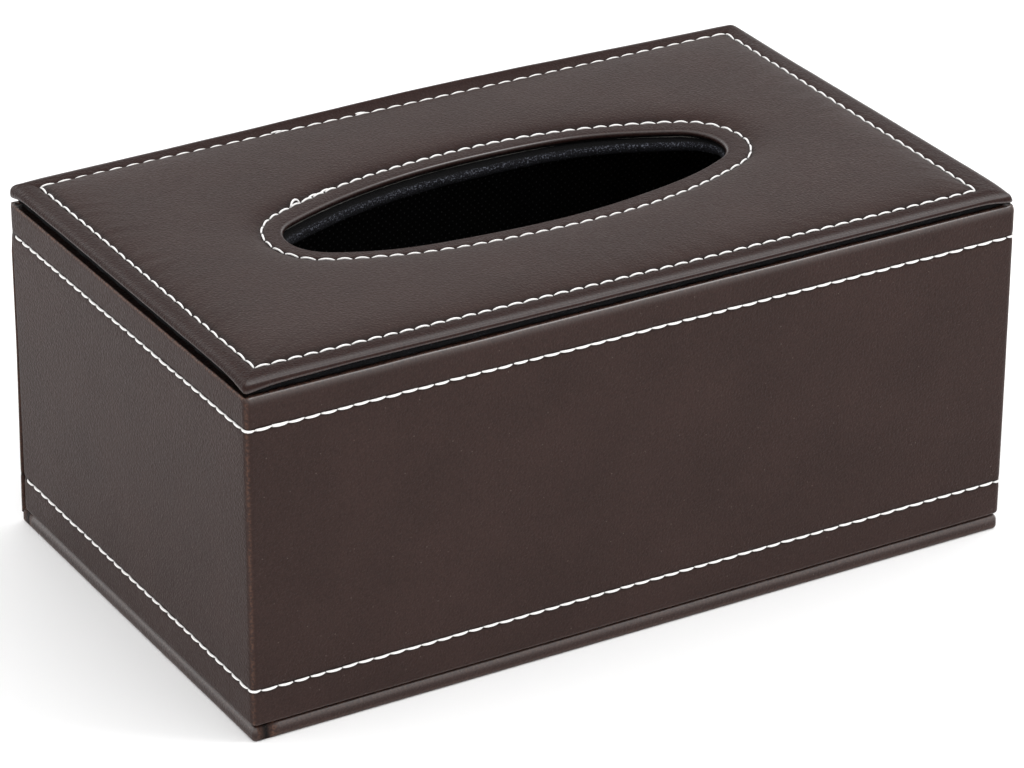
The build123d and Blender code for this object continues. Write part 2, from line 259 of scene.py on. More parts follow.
# %% [markdown]
# The leather is a soft brown one with a waxy bloom: nearly black-brown underneath, greyer where light skims
# it, with a very fine grain, sparse pale pores, and an orange-brown base that shows where the edges are
# rubbed. Marks painted on the mesh say where it is rubbed, where it is polished by a fold, and where shade
# is painted into its colour: in the needle holes, along the seams, in the gaps and recesses, on slopes
# beside the slot and on the lid's rolled edges. On the walls' top edges the rubbed orange-brown also stands
# in for painted bounce light and a painted highlight line.
# %% Brown leather
def leather_colour(tree, place, crease):
    """Brown, clouded and grained, then creased and pored, worn orange-brown that is partly painted light,
    and darkened by painted shade.
    """
    cloud = noise_of(tree, place, 22, 3)
    tone = ramp_of(tree, cloud, (0.35, (0.0258, 0.0134, 0.0113)), (0.65, (0.0302, 0.0158, 0.0134)))
    # Painted shade: a dark red-brown in the gaps and recesses, on slopes beside the slot, and on the lid's
    # rolled edges where the sheen is weak.
    painted_shade = mark_of(tree, "painted_shade")
    tone = mix_of(tree, maths(tree, "MULTIPLY", painted_shade, 0.85), tone, (0.012, 0.002, 0.0012))
    grain = noise_of(tree, place, 0.7, 3)
    grey = ramp_of(tree, grain, (0.32, (0.84, 0.84, 0.84)), (0.68, (1.16, 1.16, 1.16)))
    tone = mix_of(tree, 1.0, tone, grey, "MULTIPLY")
    tone = mix_of(tree, range_of(tree, crease, 0.58, 0.7, 0.0, 0.28), tone, (0.07, 0.05, 0.044))
    pores = range_of(tree, cells_of(tree, place, 3.6), 0.03, 0.07, 1.0, 0.0)
    pores = maths(tree, "MULTIPLY", pores, range_of(tree, painted_shade, 0.0, 0.3, 0.45, 0.0))
    tone = mix_of(tree, pores, tone, (0.17, 0.135, 0.12))
    # Orange-brown of worn leather; on the walls' top edges the same mark stands in for painted bounce light
    # and a painted highlight line.
    patches = range_of(tree, noise_of(tree, place, 0.8, 3), 0.42, 0.6, 0.1, 1.0)
    wear_and_light = maths(tree, "MULTIPLY", mark_of(tree, "wear_and_painted_light"), patches)
    tone = mix_of(tree, wear_and_light, tone, (0.11, 0.053, 0.034))
    # Painted deep shade, near black: in the needle holes, along the seams, in the recesses under the rims
    # and in the gaps under the lid.
    return mix_of(tree, mark_of(tree, "painted_deep_shade"), tone, (0.003, 0.002, 0.002))


def brown_leather():
    material, tree, place = new_finish("brown_leather")
    polish = mark_of(tree, "polished")
    crease = noise_of(tree, place, 0.3, 2, stretch=(1, 1, 9), turn=(0.75, 0.75, 0))
    gloss = range_of(tree, noise_of(tree, place, 0.8, 2), 0.35, 0.65, 0.44, 0.54)
    beads = noise_of(tree, place, 0.75, 1, stretch=(1, 5, 5))
    crinkle = maths(tree, "MULTIPLY", beads, maths(tree, "MULTIPLY", polish, 0.8))
    mottle = maths(tree, "MULTIPLY", noise_of(tree, place, 0.75, 2), 1.3)
    height = maths(tree, "ADD", maths(tree, "MULTIPLY", cells_of(tree, place, 0.75), 0.5), mottle)
    height = maths(tree, "ADD", height, maths(tree, "MULTIPLY", crease, 0.5))
    return finished(material, {
        "Base Color": leather_colour(tree, place, crease),
        "Roughness": maths(tree, "SUBTRACT", gloss, maths(tree, "MULTIPLY", polish, 0.24)),
        "IOR": 1.22,
        "Coat Weight": maths(tree, "POWER", polish, 2.0),
        "Coat Roughness": 0.3,
        "Coat IOR": 1.6,
        "Normal": relief(tree, maths(tree, "ADD", height, crinkle), 0.2),
    })


leather_finish = brown_leather()

# %% [markdown]
# The thread is a thick white cotton, the brightest thing on the box. It needs hardly any colour: a little
# painted shade, grey in the hollows of its twist, and no gloss.
# %% White thread
def white_thread():
    material, tree, place = new_finish("white_thread")
    fibre = noise_of(tree, place, 0.3, 2)
    tone = ramp_of(tree, fibre, (0.3, (0.74, 0.72, 0.7)), (0.55, (0.88, 0.87, 0.86)))
    return finished(material, {"Base Color": tone, "Roughness": 0.75, "Normal": relief(tree, fibre, 0.04)})


thread_finish = white_thread()

# %% [markdown]
# The liner is black felt, matted wool whose loose fibres catch the light as pale flecks. The cloth on the
# walls is a black non-woven sheet, pressed into a staggered pattern of small dots. Voronoi cells with no
# randomness stand in even rows, so a turned and stretched copy of the coordinates gives the dots.
# %% Black felt
def black_felt():
    material, tree, place = new_finish("black_felt")
    matted = noise_of(tree, place, 0.5, 4)
    tone = ramp_of(tree, matted, (0.35, (0.002, 0.002, 0.0026)), (0.65, (0.0095, 0.0095, 0.0125)))
    # More pale flecks along the top of the lip, part loose fibres and part painted light.
    fibres_and_painted_light = maths(tree, "MULTIPLY", mark_of(tree, "wear_and_painted_light"), 0.09)
    fleck = maths(tree, "ADD", noise_of(tree, place, 0.42, 1), fibres_and_painted_light)
    tone = mix_of(tree, range_of(tree, fleck, 0.66, 0.74, 0.0, 1.0), tone, (0.085, 0.09, 0.11))
    return finished(material, {
        # Painted shade above the lip and on the edge under the lid.
        "Base Color": mix_of(tree, mark_of(tree, "painted_deep_shade"), tone, (0.0015, 0.0015, 0.0017)),
        "Roughness": 0.95,
        "Specular IOR Level": 0.15,
        "Normal": relief(tree, matted, 0.3),
    })


felt_finish = black_felt()

# %% Black dotted cloth
dot_pitch = 2.6


def dotted_cloth(name, across, up):
    """Black non-woven cloth. across and up say how much of x, y and z runs along each way of the pattern."""
    material, tree, place = new_finish(name)
    first, second = [
        add_node(tree, "VectorMath", {0: place, 1: way}, operation="DOT_PRODUCT")["Value"]
        for way in (across, up)
    ]
    slants = {"X": maths(tree, "ADD", first, second), "Y": maths(tree, "SUBTRACT", first, second)}
    dots = cells_of(tree, add_node(tree, "CombineXYZ", slants)["Vector"], dot_pitch, randomness=0.0)
    spot = range_of(tree, dots, 0.1, 0.2, 1.0, 0.0)
    fluff = noise_of(tree, place, 0.5, 3)
    tone = ramp_of(tree, fluff, (0.3, (0.0015, 0.0015, 0.0015)), (0.7, (0.006, 0.006, 0.0065)))
    return finished(material, {
        "Base Color": mix_of(tree, spot, tone, (0.05, 0.05, 0.053)),
        "Roughness": 0.85,
        "Specular IOR Level": 0.2,
        "Normal": relief(tree, maths(tree, "SUBTRACT", fluff, spot), 0.15),
    })


wall_cloth_finish = dotted_cloth("wall_cloth", (1, 1, 0), (0, 0, 1))
flap_cloth_finish = dotted_cloth("flap_cloth", (1, 0, 0), (0, 1, 0))

# %% [markdown]
# The hidden parts get honest finishes too, because the flap opens and the box may be shown in pieces: tan
# fibreboard with pressed flakes, grey card, open foam, bright steel brads and nickel magnets.
# %% Boards, card, foam and metal
def pressed_board(name, dark, light, fleck_size, depth):
    material, tree, place = new_finish(name)
    fibres = noise_of(tree, place, fleck_size, 5, stretch=(1.6, 1.6, 0.7))
    tone = ramp_of(tree, fibres, (0.35, dark), (0.65, light))
    return finished(material, {"Base Color": tone, "Roughness": 0.85, "Normal": relief(tree, fibres, depth)})


def open_foam():
    material, tree, place = new_finish("open_foam")
    bubbles = cells_of(tree, place, 0.9)
    tone = ramp_of(tree, bubbles, (0.1, (0.35, 0.33, 0.28)), (0.6, (0.78, 0.75, 0.66)))
    return finished(material, {"Base Color": tone, "Roughness": 0.9, "Normal": relief(tree, bubbles, 0.3)})


def bare_metal(name, colour, gloss, scratch_size):
    material, tree, place = new_finish(name)
    scratches = noise_of(tree, place, scratch_size, 4, stretch=(1, 1, 6))
    return finished(material, {
        "Base Color": (*colour, 1),
        "Metallic": 1.0,
        "Roughness": range_of(tree, scratches, 0.3, 0.7, gloss, gloss + 0.2),
        "Normal": relief(tree, scratches, 0.02),
    })


tan_tones = (0.24, 0.15, 0.085), (0.42, 0.29, 0.18)
grey_tones = (0.2, 0.19, 0.175), (0.36, 0.35, 0.33)
fibreboard_finish = pressed_board("fibreboard", *tan_tones, fleck_size=0.8, depth=0.08)
card_finish = pressed_board("grey_card", *grey_tones, fleck_size=0.5, depth=0.05)
foam_finish = open_foam()
brad_finish = bare_metal("steel_brads", (0.55, 0.56, 0.58), gloss=0.28, scratch_size=0.5)
magnet_finish = bare_metal("nickel", (0.62, 0.6, 0.56), gloss=0.22, scratch_size=0.4)

# %% [markdown]
# A box that is glued by hand isn't quite square. Its right end leans out a little towards the top and its
# left end towards the bottom. Every soft piece and every stitch goes through this one function, so they stay
# together. Two small curves serve for this and for most other unevenness below.
# %% Out of true
def hump(value, centre, width):
    """1 at the centre, fading away smoothly on both sides."""
    return exp(-(((value - centre) / width) ** 2))


def eased(value, start, length):
    """0 up to the start, 1 from a length past it, and even in between."""
    return min(max((value - start) / length, 0), 1)


def settled(place):
    """A place on the drawn box, in millimetres, moved to where it is on the box made by hand."""
    up = eased(place.z, 0, wall_top)
    on_lid = eased(place.z, wall_top, lid_bottom - wall_top)
    right = (0.8 + 1.5 * up - 0.3 * up * up) * (1 - on_lid) + 0.77 * on_lid
    left = 1.2 - 1.25 * up + 0.3 * up * up
    share = place.x / half_length
    push = right * share**2 if share > 0 else -left * share**2
    return Vector((place.x + push, place.y, place.z))


lean = settled(Vector((half_length, 0, wall_top))).x - half_length
print("the right end leans out by", round(lean, 2), "mm")

# %% [markdown]
# A sheet of leather starts flat and is wrapped over its board, so that is how each sheet is made here: a
# flat grid comes from one operator, and every crossing of its columns and rows is then laid on its place on
# the box. Columns run round the box anticlockwise, as seen from above, and rows run upwards on the outside,
# which makes the faces look outwards. Marks for the finish are painted at the same time.
# %% Wrap a sheet
# The marks: wear, which on the walls' top edges is painted light; polish; painted deep shade; painted shade.
marks = ("wear_and_painted_light", "polished", "painted_deep_shade", "painted_shade")


def add_piece(name, mesh, smooth=True):
    """A piece of the box, with its place in its mesh."""
    data = bpy.data.meshes.new(name)
    mesh.to_mesh(data)
    mesh.free()
    if smooth:
        data.shade_smooth()
    piece = bpy.data.objects.new(name, data)
    scene.collection.objects.link(piece)
    return piece


def wrap(name, columns, rows, place, paint=None):
    """A flat grid, laid on place(column, row) in millimetres. paint(column, row) gives its marks."""
    steps = len(rows) - 1
    sheet = bmesh.new()
    bmesh.ops.create_grid(sheet, x_segments=columns, y_segments=steps, size=0.5)
    layers = [sheet.verts.layers.float.new(mark) for mark in marks]
    for vert in sheet.verts:
        column = round((vert.co.x + 0.5) * columns)
        row = round((vert.co.y + 0.5) * steps)
        vert.co = settled(place(column, row)) * mm
        if paint:
            for layer, value in zip(layers, paint(column, row)):
                vert[layer] = value
    bmesh.ops.remove_doubles(sheet, verts=sheet.verts, dist=0.003 * mm)
    return add_piece(name, sheet)


def thicken(piece, thickness):
    """Gives a wrapped sheet its thickness, on the side of the board."""
    solid = piece.modifiers.new("thickness", "SOLIDIFY")
    solid.thickness = thickness * mm
    solid.offset = -1


def dress(piece, finish, slot, *nodes):
    """The piece wears a finish and stands for CAD nodes, which are hidden. slot is not used."""
    piece.data.materials.append(finish)
    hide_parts(*nodes)
    print(piece.name, "stands for", nodes, "with", len(piece.data.polygons), "faces")


def wave(place, size):
    """Smooth waviness between -1 and 1, whose waves are about size millimetres long."""
    return noise.noise(place / size)


def quarter(steps):
    """The angles of a quarter turn, for a rolled edge."""
    return [pi / 2 * step / steps for step in range(steps + 1)]


# %% [markdown]
# Every ring of leather follows a rectangle with rounded corners. The rows of stitches need a column at each
# needle hole, and the corners need more columns than the straights, so the columns are shared out here: each
# side starts and ends with a few columns on its half of the corner arcs.
# %% Points round a rectangle
corner_columns = 4
side_ways = [Vector((1, 0)), Vector((0, 1)), Vector((-1, 0)), Vector((0, -1))]
corner_signs = [Vector((-1, -1)), Vector((1, -1)), Vector((1, 1)), Vector((-1, 1))]


def side_of(column, counts):
    """The side that a column is on, counted from the front, and its number along that side."""
    column %= sum(counts)
    side = 0
    while column >= counts[side]:
        column -= counts[side]
        side += 1
    return side, column


def rectangle_point(column, counts, half_x, half_y, radii, gathered=1.0):
    """A point round a rectangle. Gathered, the first and last columns of a side lie on the corner arcs."""
    side, step = side_of(column, counts)
    count = counts[side]
    length = 2 * (half_x if side % 2 == 0 else half_y)
    way = side_ways[side]
    inward = Vector((-way.y, way.x))
    corner = Vector((corner_signs[side].x * half_x, corner_signs[side].y * half_y))
    start = radii[side]
    end = radii[(side + 1) % 4]
    even = corner + way * (length * step / count)
    if step < corner_columns:
        turn = pi / 4 * (1 - step / corner_columns)
        along = start * (1 - sin(turn))
        depth = start * (1 - cos(turn))
    elif step > count - corner_columns:
        turn = pi / 4 * (1 - (count - step) / corner_columns)
        along = length - end * (1 - sin(turn))
        depth = end * (1 - cos(turn))
    else:
        share = (step - corner_columns) / (count - 2 * corner_columns)
        along = start + (length - start - end) * share
        depth = 0.0
    return even.lerp(corner + way * along + inward * depth, gathered)


def lowered(radii, inset, least=0.15):
    """The corner radii of a ring that lies further in."""
    return [max(radius - inset, least) for radius in radii]


# %% [markdown]
# The slot is an oval of four arcs that meet smoothly, two tight ones at the ends and two wide ones along the
# sides. An offset of such an oval is the same four arcs with other radii, so the rim, the seam round it and
# the felt inside all follow one formula. The hand-cut edge and the hand-led seam drift from it a little.
# %% Points round the slot
slot_length = 145.0
slot_width = 51.5
slot_end_radius = 12.5
slot_row_low, slot_row_high = corners_of("slot_thread")
slot_seam_margin = (slot_row_high.x - slot_row_low.x - slot_length - row_width) / 2
end_centre = slot_length / 2 - slot_end_radius
half_slot = slot_width / 2
side_radius = (end_centre**2 + half_slot**2 - slot_end_radius**2) / (slot_width - 2 * slot_end_radius)
side_centre = side_radius - half_slot
end_turn = atan2(side_centre, end_centre)
side_run = (side_radius + slot_seam_margin) * (pi / 2 - end_turn)
end_run = (slot_end_radius + slot_seam_margin) * 2 * end_turn
oval_length = 4 * side_run + 2 * end_run
slot_arcs = [
    (Vector((0, side_centre)), side_radius, -pi / 2, side_run),
    (Vector((end_centre, 0)), slot_end_radius, -end_turn, end_run),
    (Vector((0, -side_centre)), side_radius, end_turn, 2 * side_run),
    (Vector((-end_centre, 0)), slot_end_radius, pi - end_turn, end_run),
    (Vector((0, side_centre)), side_radius, pi + end_turn, side_run),
]


def edge_drift(x, outwards):
    """How far outside its drawn place the slot's edge lies."""
    front = 0.25 + 1.1 * hump(x, 54, 16) + 3.2 * hump(x, -54, 24)
    back = -0.75 + 1.9 * hump(x, 40, 22)
    end = 0.4 if x < 0 else -1.2
    return (front if outwards.y < 0 else back) * abs(outwards.y) + end * outwards.x**2


def seam_drift(x, outwards):
    """How far outside its drawn place the seam round the slot lies."""
    front = 1.51 - 2.3 * hump(x, -6, 36)
    back = -0.21 - 1.4 * hump(x, -14, 40)
    return (front if outwards.y < 0 else back) * abs(outwards.y) + 0.7 * outwards.x**2


def slot_point(share, margin):
    """A point a share of the way round the slot from its front middle, and the way out of the slot there."""
    travel = (share % 1) * oval_length
    for centre, radius, start, run in slot_arcs:
        if travel <= run:
            break
        travel -= run
    angle = start + travel / (radius + slot_seam_margin)
    outwards = Vector((cos(angle), sin(angle)))
    point = centre + outwards * (radius + margin)
    x = point.x
    point.x -= 0.14 * margin * x / end_centre
    sewn = eased(margin, 0, slot_seam_margin)
    point += outwards * (edge_drift(x, outwards) * (1 - sewn) + seam_drift(x, outwards) * sewn)
    return point, outwards


def slot_side(point):
    """How far outside the slot's edge a point of the lid lies, and the way out of the slot there."""
    x = abs(point.x)
    y = abs(point.y)
    centre = Vector((0, -side_centre))
    radius = side_radius
    if atan2(y, x - end_centre) < end_turn:
        centre = Vector((end_centre, 0))
        radius = slot_end_radius
    arm = Vector((x, y)) - centre
    outwards = arm.normalized()
    if point.x < 0:
        outwards.x = -outwards.x
    if point.y < 0:
        outwards.y = -outwards.y
    return arm.length - radius, outwards


print("seam round the slot:", round(oval_length, 1), "mm, margin", round(slot_seam_margin, 2))

# %% [markdown]
# The lid sits a little askew, highest at the back of the left end. The foam under the leather swells between
# the two seams, steeply beside each seam and flat further in. The seam along the edge isn't quite parallel
# to it either. Each of these is a short formula, which the leather, the foam and the stitches share.
# %% Shape of the lid
swell_reach = 4.6
sewn_depth = 0.32
hole_depth = 0.2
lid_counts = [192, 104, 192, 104]
lid_stitches = [48, 26, 43, 26]
lid_columns = sum(lid_counts)
slot_stitches = lid_columns // 8
lid_radii = [1.3, 1.8, 3.0, 1.6]
seam_corners = [
    Vector((-edge_row_x - 1.0, -edge_row_y + 0.8)),
    Vector((edge_row_x - 1.5, -edge_row_y + 0.3)),
    Vector((edge_row_x + 0.6, edge_row_y)),
    Vector((-edge_row_x - 0.3, edge_row_y - 0.4)),
]


def lid_lift(point):
    """How much higher the lid lies than drawn."""
    front = eased(-point.y, 40, 30) * (1 - (point.x / half_length) ** 2)
    back_left = eased(point.y, 40, 30) * eased(-point.x, 85, 35)
    return 0.35 - 0.0032 * point.x + 0.003 * point.y - 0.3 * front - 0.3 * back_left


def lid_place(point, height):
    """A point of the lid, or of the liner that carries it, in millimetres."""
    share = eased(height, wall_top, lid_bottom - wall_top)
    past = max(point.y - edge_row_y, 0) / (half_width - edge_row_y)
    bulge = 1.1 * share * past * hump(point.x, 40, 78)
    return Vector((point.x, point.y + bulge + mid_y, height + lid_lift(point) * share))


def swell(distance):
    """How full the pad is at a distance from a seam."""
    return 1 - exp(-max(distance, 0.0) / swell_reach)


def past_slot_seam(point):
    """How far outside the seam round the slot a point lies, and the way out of the slot there."""
    margin, outwards = slot_side(point)
    return margin - slot_seam_margin - seam_drift(point.x, outwards), outwards


def pad_rise(point):
    """How far the padded leather stands above the border."""
    slant = (point.y + edge_row_y) / (2 * edge_row_y)
    side = 0 if point.x < 0 else 1
    front = abs(seam_corners[side].x)
    back = abs(seam_corners[3 - side].x)
    from_end = front + (back - front) * slant - abs(point.x)
    from_long = edge_row_y - abs(point.y)
    return pad_height * swell(past_slot_seam(point)[0]) * swell(from_end) * swell(from_long)


def edge_phase(column):
    """How many stitches along its side of the lid a column is."""
    side, step = side_of(column, lid_counts)
    return step * lid_stitches[side] / lid_counts[side]


def slot_phase(column):
    """How many stitches round the slot a column is."""
    return column * slot_stitches / lid_columns


def pull(phase, distance):
    """How far the thread pulls the leather down near a seam, most at the needle holes."""
    hole = 0.5 + 0.5 * cos(2 * pi * phase)
    return sewn_depth * hump(distance, 0, 0.7) + hole_depth * hole * exp(-distance / 1.5)


print("stitches on the lid:", sum(lid_stitches), "along its edge,", slot_stitches, "round the slot")


# %% [markdown]
# The lid's leather is the piece that takes the most skill: one sheet that turns in under the thin board,
# folds up round its edge, lies flat as a border, is sewn down, swells over the foam, is sewn down again, and
# rolls through the slot to the underside. Ring after ring of the same columns follows that way from outside
# to inside. The border sags at the front, stands up along the back, and is thicker at the corners, where the
# leather is pleated.
# %% Rings of the lid's leather
def share_of(column):
    """A column's share of the way round the slot, lined up with its place along the lid's edge."""
    return (column - lid_counts[0] / 2) / lid_columns


def edge_ring(inset):
    """A ring that lies a little way in from the lid's outline."""
    halves = (half_length - inset, half_width - inset)
    radii = lowered(lid_radii, inset)
    return [rectangle_point(column, lid_counts, *halves, radii) for column in range(lid_columns)]


def slot_ring(margin):
    """A ring that lies a margin outside the slot's edge."""
    return [slot_point(share_of(column), margin)[0] for column in range(lid_columns)]


def seam_ring():
    """The ring of the seam along the edge, with a column at each needle hole."""
    points = []
    for side, count in enumerate(lid_counts):
        start = seam_corners[side]
        end = seam_corners[(side + 1) % 4]
        points += [start.lerp(end, step / count) for step in range(count)]
    return points


def between(first, second, share):
    """A ring part of the way from one to another."""
    return [start.lerp(end, share) for start, end in zip(first, second)]


def border_rise(point):
    """How far the outer edge of the border stands above its seam."""
    bow = 0.55 + 1.25 * hump(point.x, 5, 62) + 0.75 * hump(point.x, 40, 78)
    return eased(point.y, 52, 22) ** 2 * bow - eased(-point.y, 52, 22) ** 2 * 0.4


def corner_droop(point):
    """How far the pleated corners hang below the rest of the lid."""
    gap = hypot(half_length - abs(point.x), half_width - abs(point.y))
    sag = eased(-point.x, 90, 25) * eased(-point.y, 60, 14)
    deepest = 0.9 if point.x * point.y > 0 else 1.5
    return deepest * hump(gap, 0, 6) + 0.6 * sag


edge_seam = seam_ring()
slot_seam = slot_ring(slot_seam_margin)
middle_column = lid_counts[0] // 2
pad_width = (edge_seam[middle_column] - slot_seam[middle_column]).length
print("from seam to seam at the front:", round(pad_width, 1), "mm")

# %% Lay out the lid's rows
lid_turn_in = 15.0
slot_turn_in = 9.0
lid_fold = 0.7
roll_width = 3.2
roll_height = 1.45
border_width = 3.4
border_bulge = 0.14
rim_width = 1.2
rim_height = 1.2
pad_steps = 26
lid_rows = []


def lid_row(ring, heights, rise=0.0, droop=0.0, wear_and_painted_light=0.0, polished=0.0, deep_shade=0.0, phase=None, dark=0.0):
    """Adds a ring of leather. heights is one height, or one for each column. A sewn row has a phase. dark
    and deep_shade are painted shade.
    """
    if not isinstance(heights, list):
        heights = [heights] * lid_columns
    shaped = []
    for height, point in zip(heights, ring):
        shaped.append(height + rise * border_rise(point) - droop * corner_droop(point))
    lid_rows.append((ring, shaped, wear_and_painted_light, polished, deep_shade, phase, dark))


def sewn_down(phase, gap, height=border_top):
    """The heights of a ring at a gap from a seam."""
    return [height - pull(phase(column), gap) for column in range(lid_columns)]


def lid_underside():
    """From the glued edge of the turn-in out to the lid's lower edge."""
    lid_row(edge_ring(lid_turn_in), lid_bottom)
    lid_row(edge_ring(8.0), lid_bottom)
    lid_row(edge_ring(3.0), lid_bottom, droop=0.6)
    for turn in quarter(4):
        height = lid_bottom + lid_fold * (1 - cos(turn))
        ring = edge_ring(lid_fold * (1 - sin(turn)))
        # The fold under the lid's edge is painted in shade.
        lid_row(ring, height, rise=0.1, droop=1.0, wear_and_painted_light=0.1, polished=0.8, dark=1.0)


def lid_roll():
    """Up the lid's side and over its rolled top edge."""
    for step, turn in enumerate(quarter(6)):
        height = border_top - roll_height * (1 - sin(turn))
        ring = edge_ring(roll_width * (1 - cos(turn)))
        rise = 0.3 + 0.7 * step / 6
        droop = 0.6 * (1 - step / 6)
        # The roll is painted dark red-brown all over, a painted shade where its sheen is weak.
        lid_row(ring, height, rise, droop, wear_and_painted_light=0.05, polished=hump(step, 3, 1.6), dark=1.0)


def lid_border():
    """The flat border between the roll and the seam along the edge."""
    roll_end = edge_ring(roll_width)
    for share in (0.2, 0.42, 0.62, 0.78, 0.88):
        gap = (1 - share) * border_width
        heights = sewn_down(edge_phase, gap, border_top + border_bulge * sin(pi * share))
        # Painted shade: dark at the roll, fading towards the seam, and beside and along the seam itself.
        deep_shade = 0.35 if share > 0.8 else 0.0
        ring = between(roll_end, edge_seam, share)
        lid_row(ring, heights, (1 - share) ** 1.3, deep_shade=deep_shade, dark=1 - 0.7 * share)
    lid_row(edge_seam, sewn_down(edge_phase, 0.0), deep_shade=0.6, phase=edge_phase)


def pad_point_height(column, point):
    """The height of the pad at a point: its swell, the pull of both seams, and fine pleats at its edge."""
    place = Vector((point.x, point.y, 0))
    from_edge = (point - edge_seam[column]).length
    from_slot = (point - slot_seam[column]).length
    height = border_top + pad_rise(point)
    height -= pull(edge_phase(column), from_edge) + pull(slot_phase(column), from_slot)
    free = min(min(from_edge, from_slot) / 12, 1)
    height += free * (0.1 * wave(place, 21) + 0.045 * wave(place, 7))
    pleat = 0.2 if abs(point.x) > edge_row_x - 16 else 0.1
    along = Vector((column * 1.25, from_edge * 0.2, 5))
    return height + pleat * wave(along, 3.4) * hump(from_edge, 5, 7)


def lid_pad():
    """The padded field between the two seams."""
    for step in range(1, pad_steps):
        linear = step / pad_steps
        share = 0.42 * linear + 0.58 * (0.5 - 0.5 * cos(pi * linear))
        ring = between(edge_seam, slot_seam, share)
        heights = [pad_point_height(column, point) for column, point in enumerate(ring)]
        # Painted shade beside both seams, and along the seam round the slot.
        lid_row(ring, heights, deep_shade=0.35 if step in (1, pad_steps - 1) else 0.0)
    lid_row(slot_seam, sewn_down(slot_phase, 0.0), deep_shade=0.6, phase=slot_phase)


def lid_slot():
    """The rim between the seam and the slot, the roll into the slot, and the turn-in underneath."""
    # The rim is painted in shade, deeper towards the slot, and beside the seam.
    for margin in (6.2, 5.5, 4.4, 3.0, 2.2):
        heights = sewn_down(slot_phase, slot_seam_margin - margin, border_top + 0.16)
        lid_row(slot_ring(margin), heights, deep_shade=0.3 if margin > 6 else 0.0, dark=0.75 - 0.08 * margin)
    # The roll into the slot is painted in shade, deeper where it turns under.
    for step, turn in enumerate(quarter(6)):
        ring = slot_ring(rim_width * (1 - sin(turn)))
        height = border_top + 0.12 - rim_height * (1 - cos(turn))
        shine = hump(step, 3, 1.6)
        deep_shade = 0.1 * max(step - 3, 0)
        lid_row(ring, height, wear_and_painted_light=0.1 * sin(2 * turn), polished=shine, deep_shade=deep_shade, dark=0.9)
    # Under the rim the leather is painted near black, as shade in the recess.
    for margin, height in ((0.15, 0.85), (0.6, 0.45), (1.3, 0.12), (2.2, 0.0)):
        lid_row(slot_ring(margin), lid_bottom + height, deep_shade=0.9)
    lid_row(slot_ring(4.0), lid_bottom)
    lid_row(slot_ring(slot_turn_in), lid_bottom)


lid_underside()
first_wavy_row = 4
lid_roll()
last_wavy_row = len(lid_rows) + 2
lid_border()
lid_pad()
lid_slot()
print("the lid's leather has", len(lid_rows), "rows of", lid_columns, "columns")

# %% Make the lid's leather
def lid_leather_place(column, row):
    ring, heights = lid_rows[row][:2]
    column %= lid_columns
    point = ring[column]
    height = heights[column]
    if first_wavy_row <= row <= last_wavy_row:
        height += 0.08 * wave(Vector((point.x, point.y, height * 3)), 13)
    return lid_place(point, height)


def lid_leather_paint(column, row):
    ring, _, wear_and_painted_light, polished, deep_shade, phase, dark = lid_rows[row]
    past_seam, outwards = past_slot_seam(ring[column % lid_columns])
    # Painted shade on the pad's slope behind the slot, which faces the front.
    if 0.5 < past_seam < 5 and row > last_wavy_row + 1:
        dark = max(outwards.y, 0) * (1 - past_seam / 5)
    if side_of(column, lid_counts)[0] % 2 == 1 and row < last_wavy_row:
        polished *= 0.45
    # Painted deep shade in the needle holes.
    if phase and abs(phase(column) - round(phase(column))) < 0.12:
        deep_shade = 0.95
    return wear_and_painted_light, polished, deep_shade, dark


lid_leather = wrap("lid_leather", lid_columns, lid_rows, lid_leather_place, lid_leather_paint)
thicken(lid_leather, lid_skin)
dress(lid_leather, leather_finish, "brown_leather", "lid_skin")
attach(lid_leather, "box")

# %% [markdown]
# The foam pad lies under that leather with the same swell, one leather thickness lower. It is a closed
# block: its grid runs from the middle of its underside out to its edge, over the top and back.
# %% Foam pad
foam_bottom = lid_board_high.z
foam_edge_inset = 1.0
foam_skip = 4


def foam_rings():
    """Rings from the slot side underneath, out to the edge, and back over the top."""
    edge = [point * (1 - foam_edge_inset / edge_row_y) for point in edge_seam]
    inner = slot_ring(slot_seam_margin + foam_edge_inset)
    rows = [(inner, foam_bottom), (edge, foam_bottom)]
    for step in range(15):
        rows.append((between(edge, inner, 0.5 - 0.5 * cos(pi * step / 14)), None))
    return rows + [(inner, foam_bottom)]


foam_rows = foam_rings()


def foam_place(column, row):
    ring, height = foam_rows[row]
    point = ring[(column * foam_skip) % lid_columns]
    if height is None:
        height = foam_bottom + 0.1 + pad_rise(point) * 0.9
    return lid_place(point, height)


lid_foam_pad = wrap("lid_foam_pad", lid_columns // foam_skip, foam_rows, foam_place)
dress(lid_foam_pad, foam_finish, "foam", "lid_foam")
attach(lid_foam_pad, "box")

# %% [markdown]
# The lid's board, its brads and the card of the liner go with the lid. Their CAD shapes are right, so copies
# of those meshes are laid askew like the rest of the lid. Leather and felt roll over their edges more softly
# than drawn, so the copies are trimmed a little, as a maker sands a board's edges before covering it.
# %% Lid board, brads and liner card
near_edge = 2.5


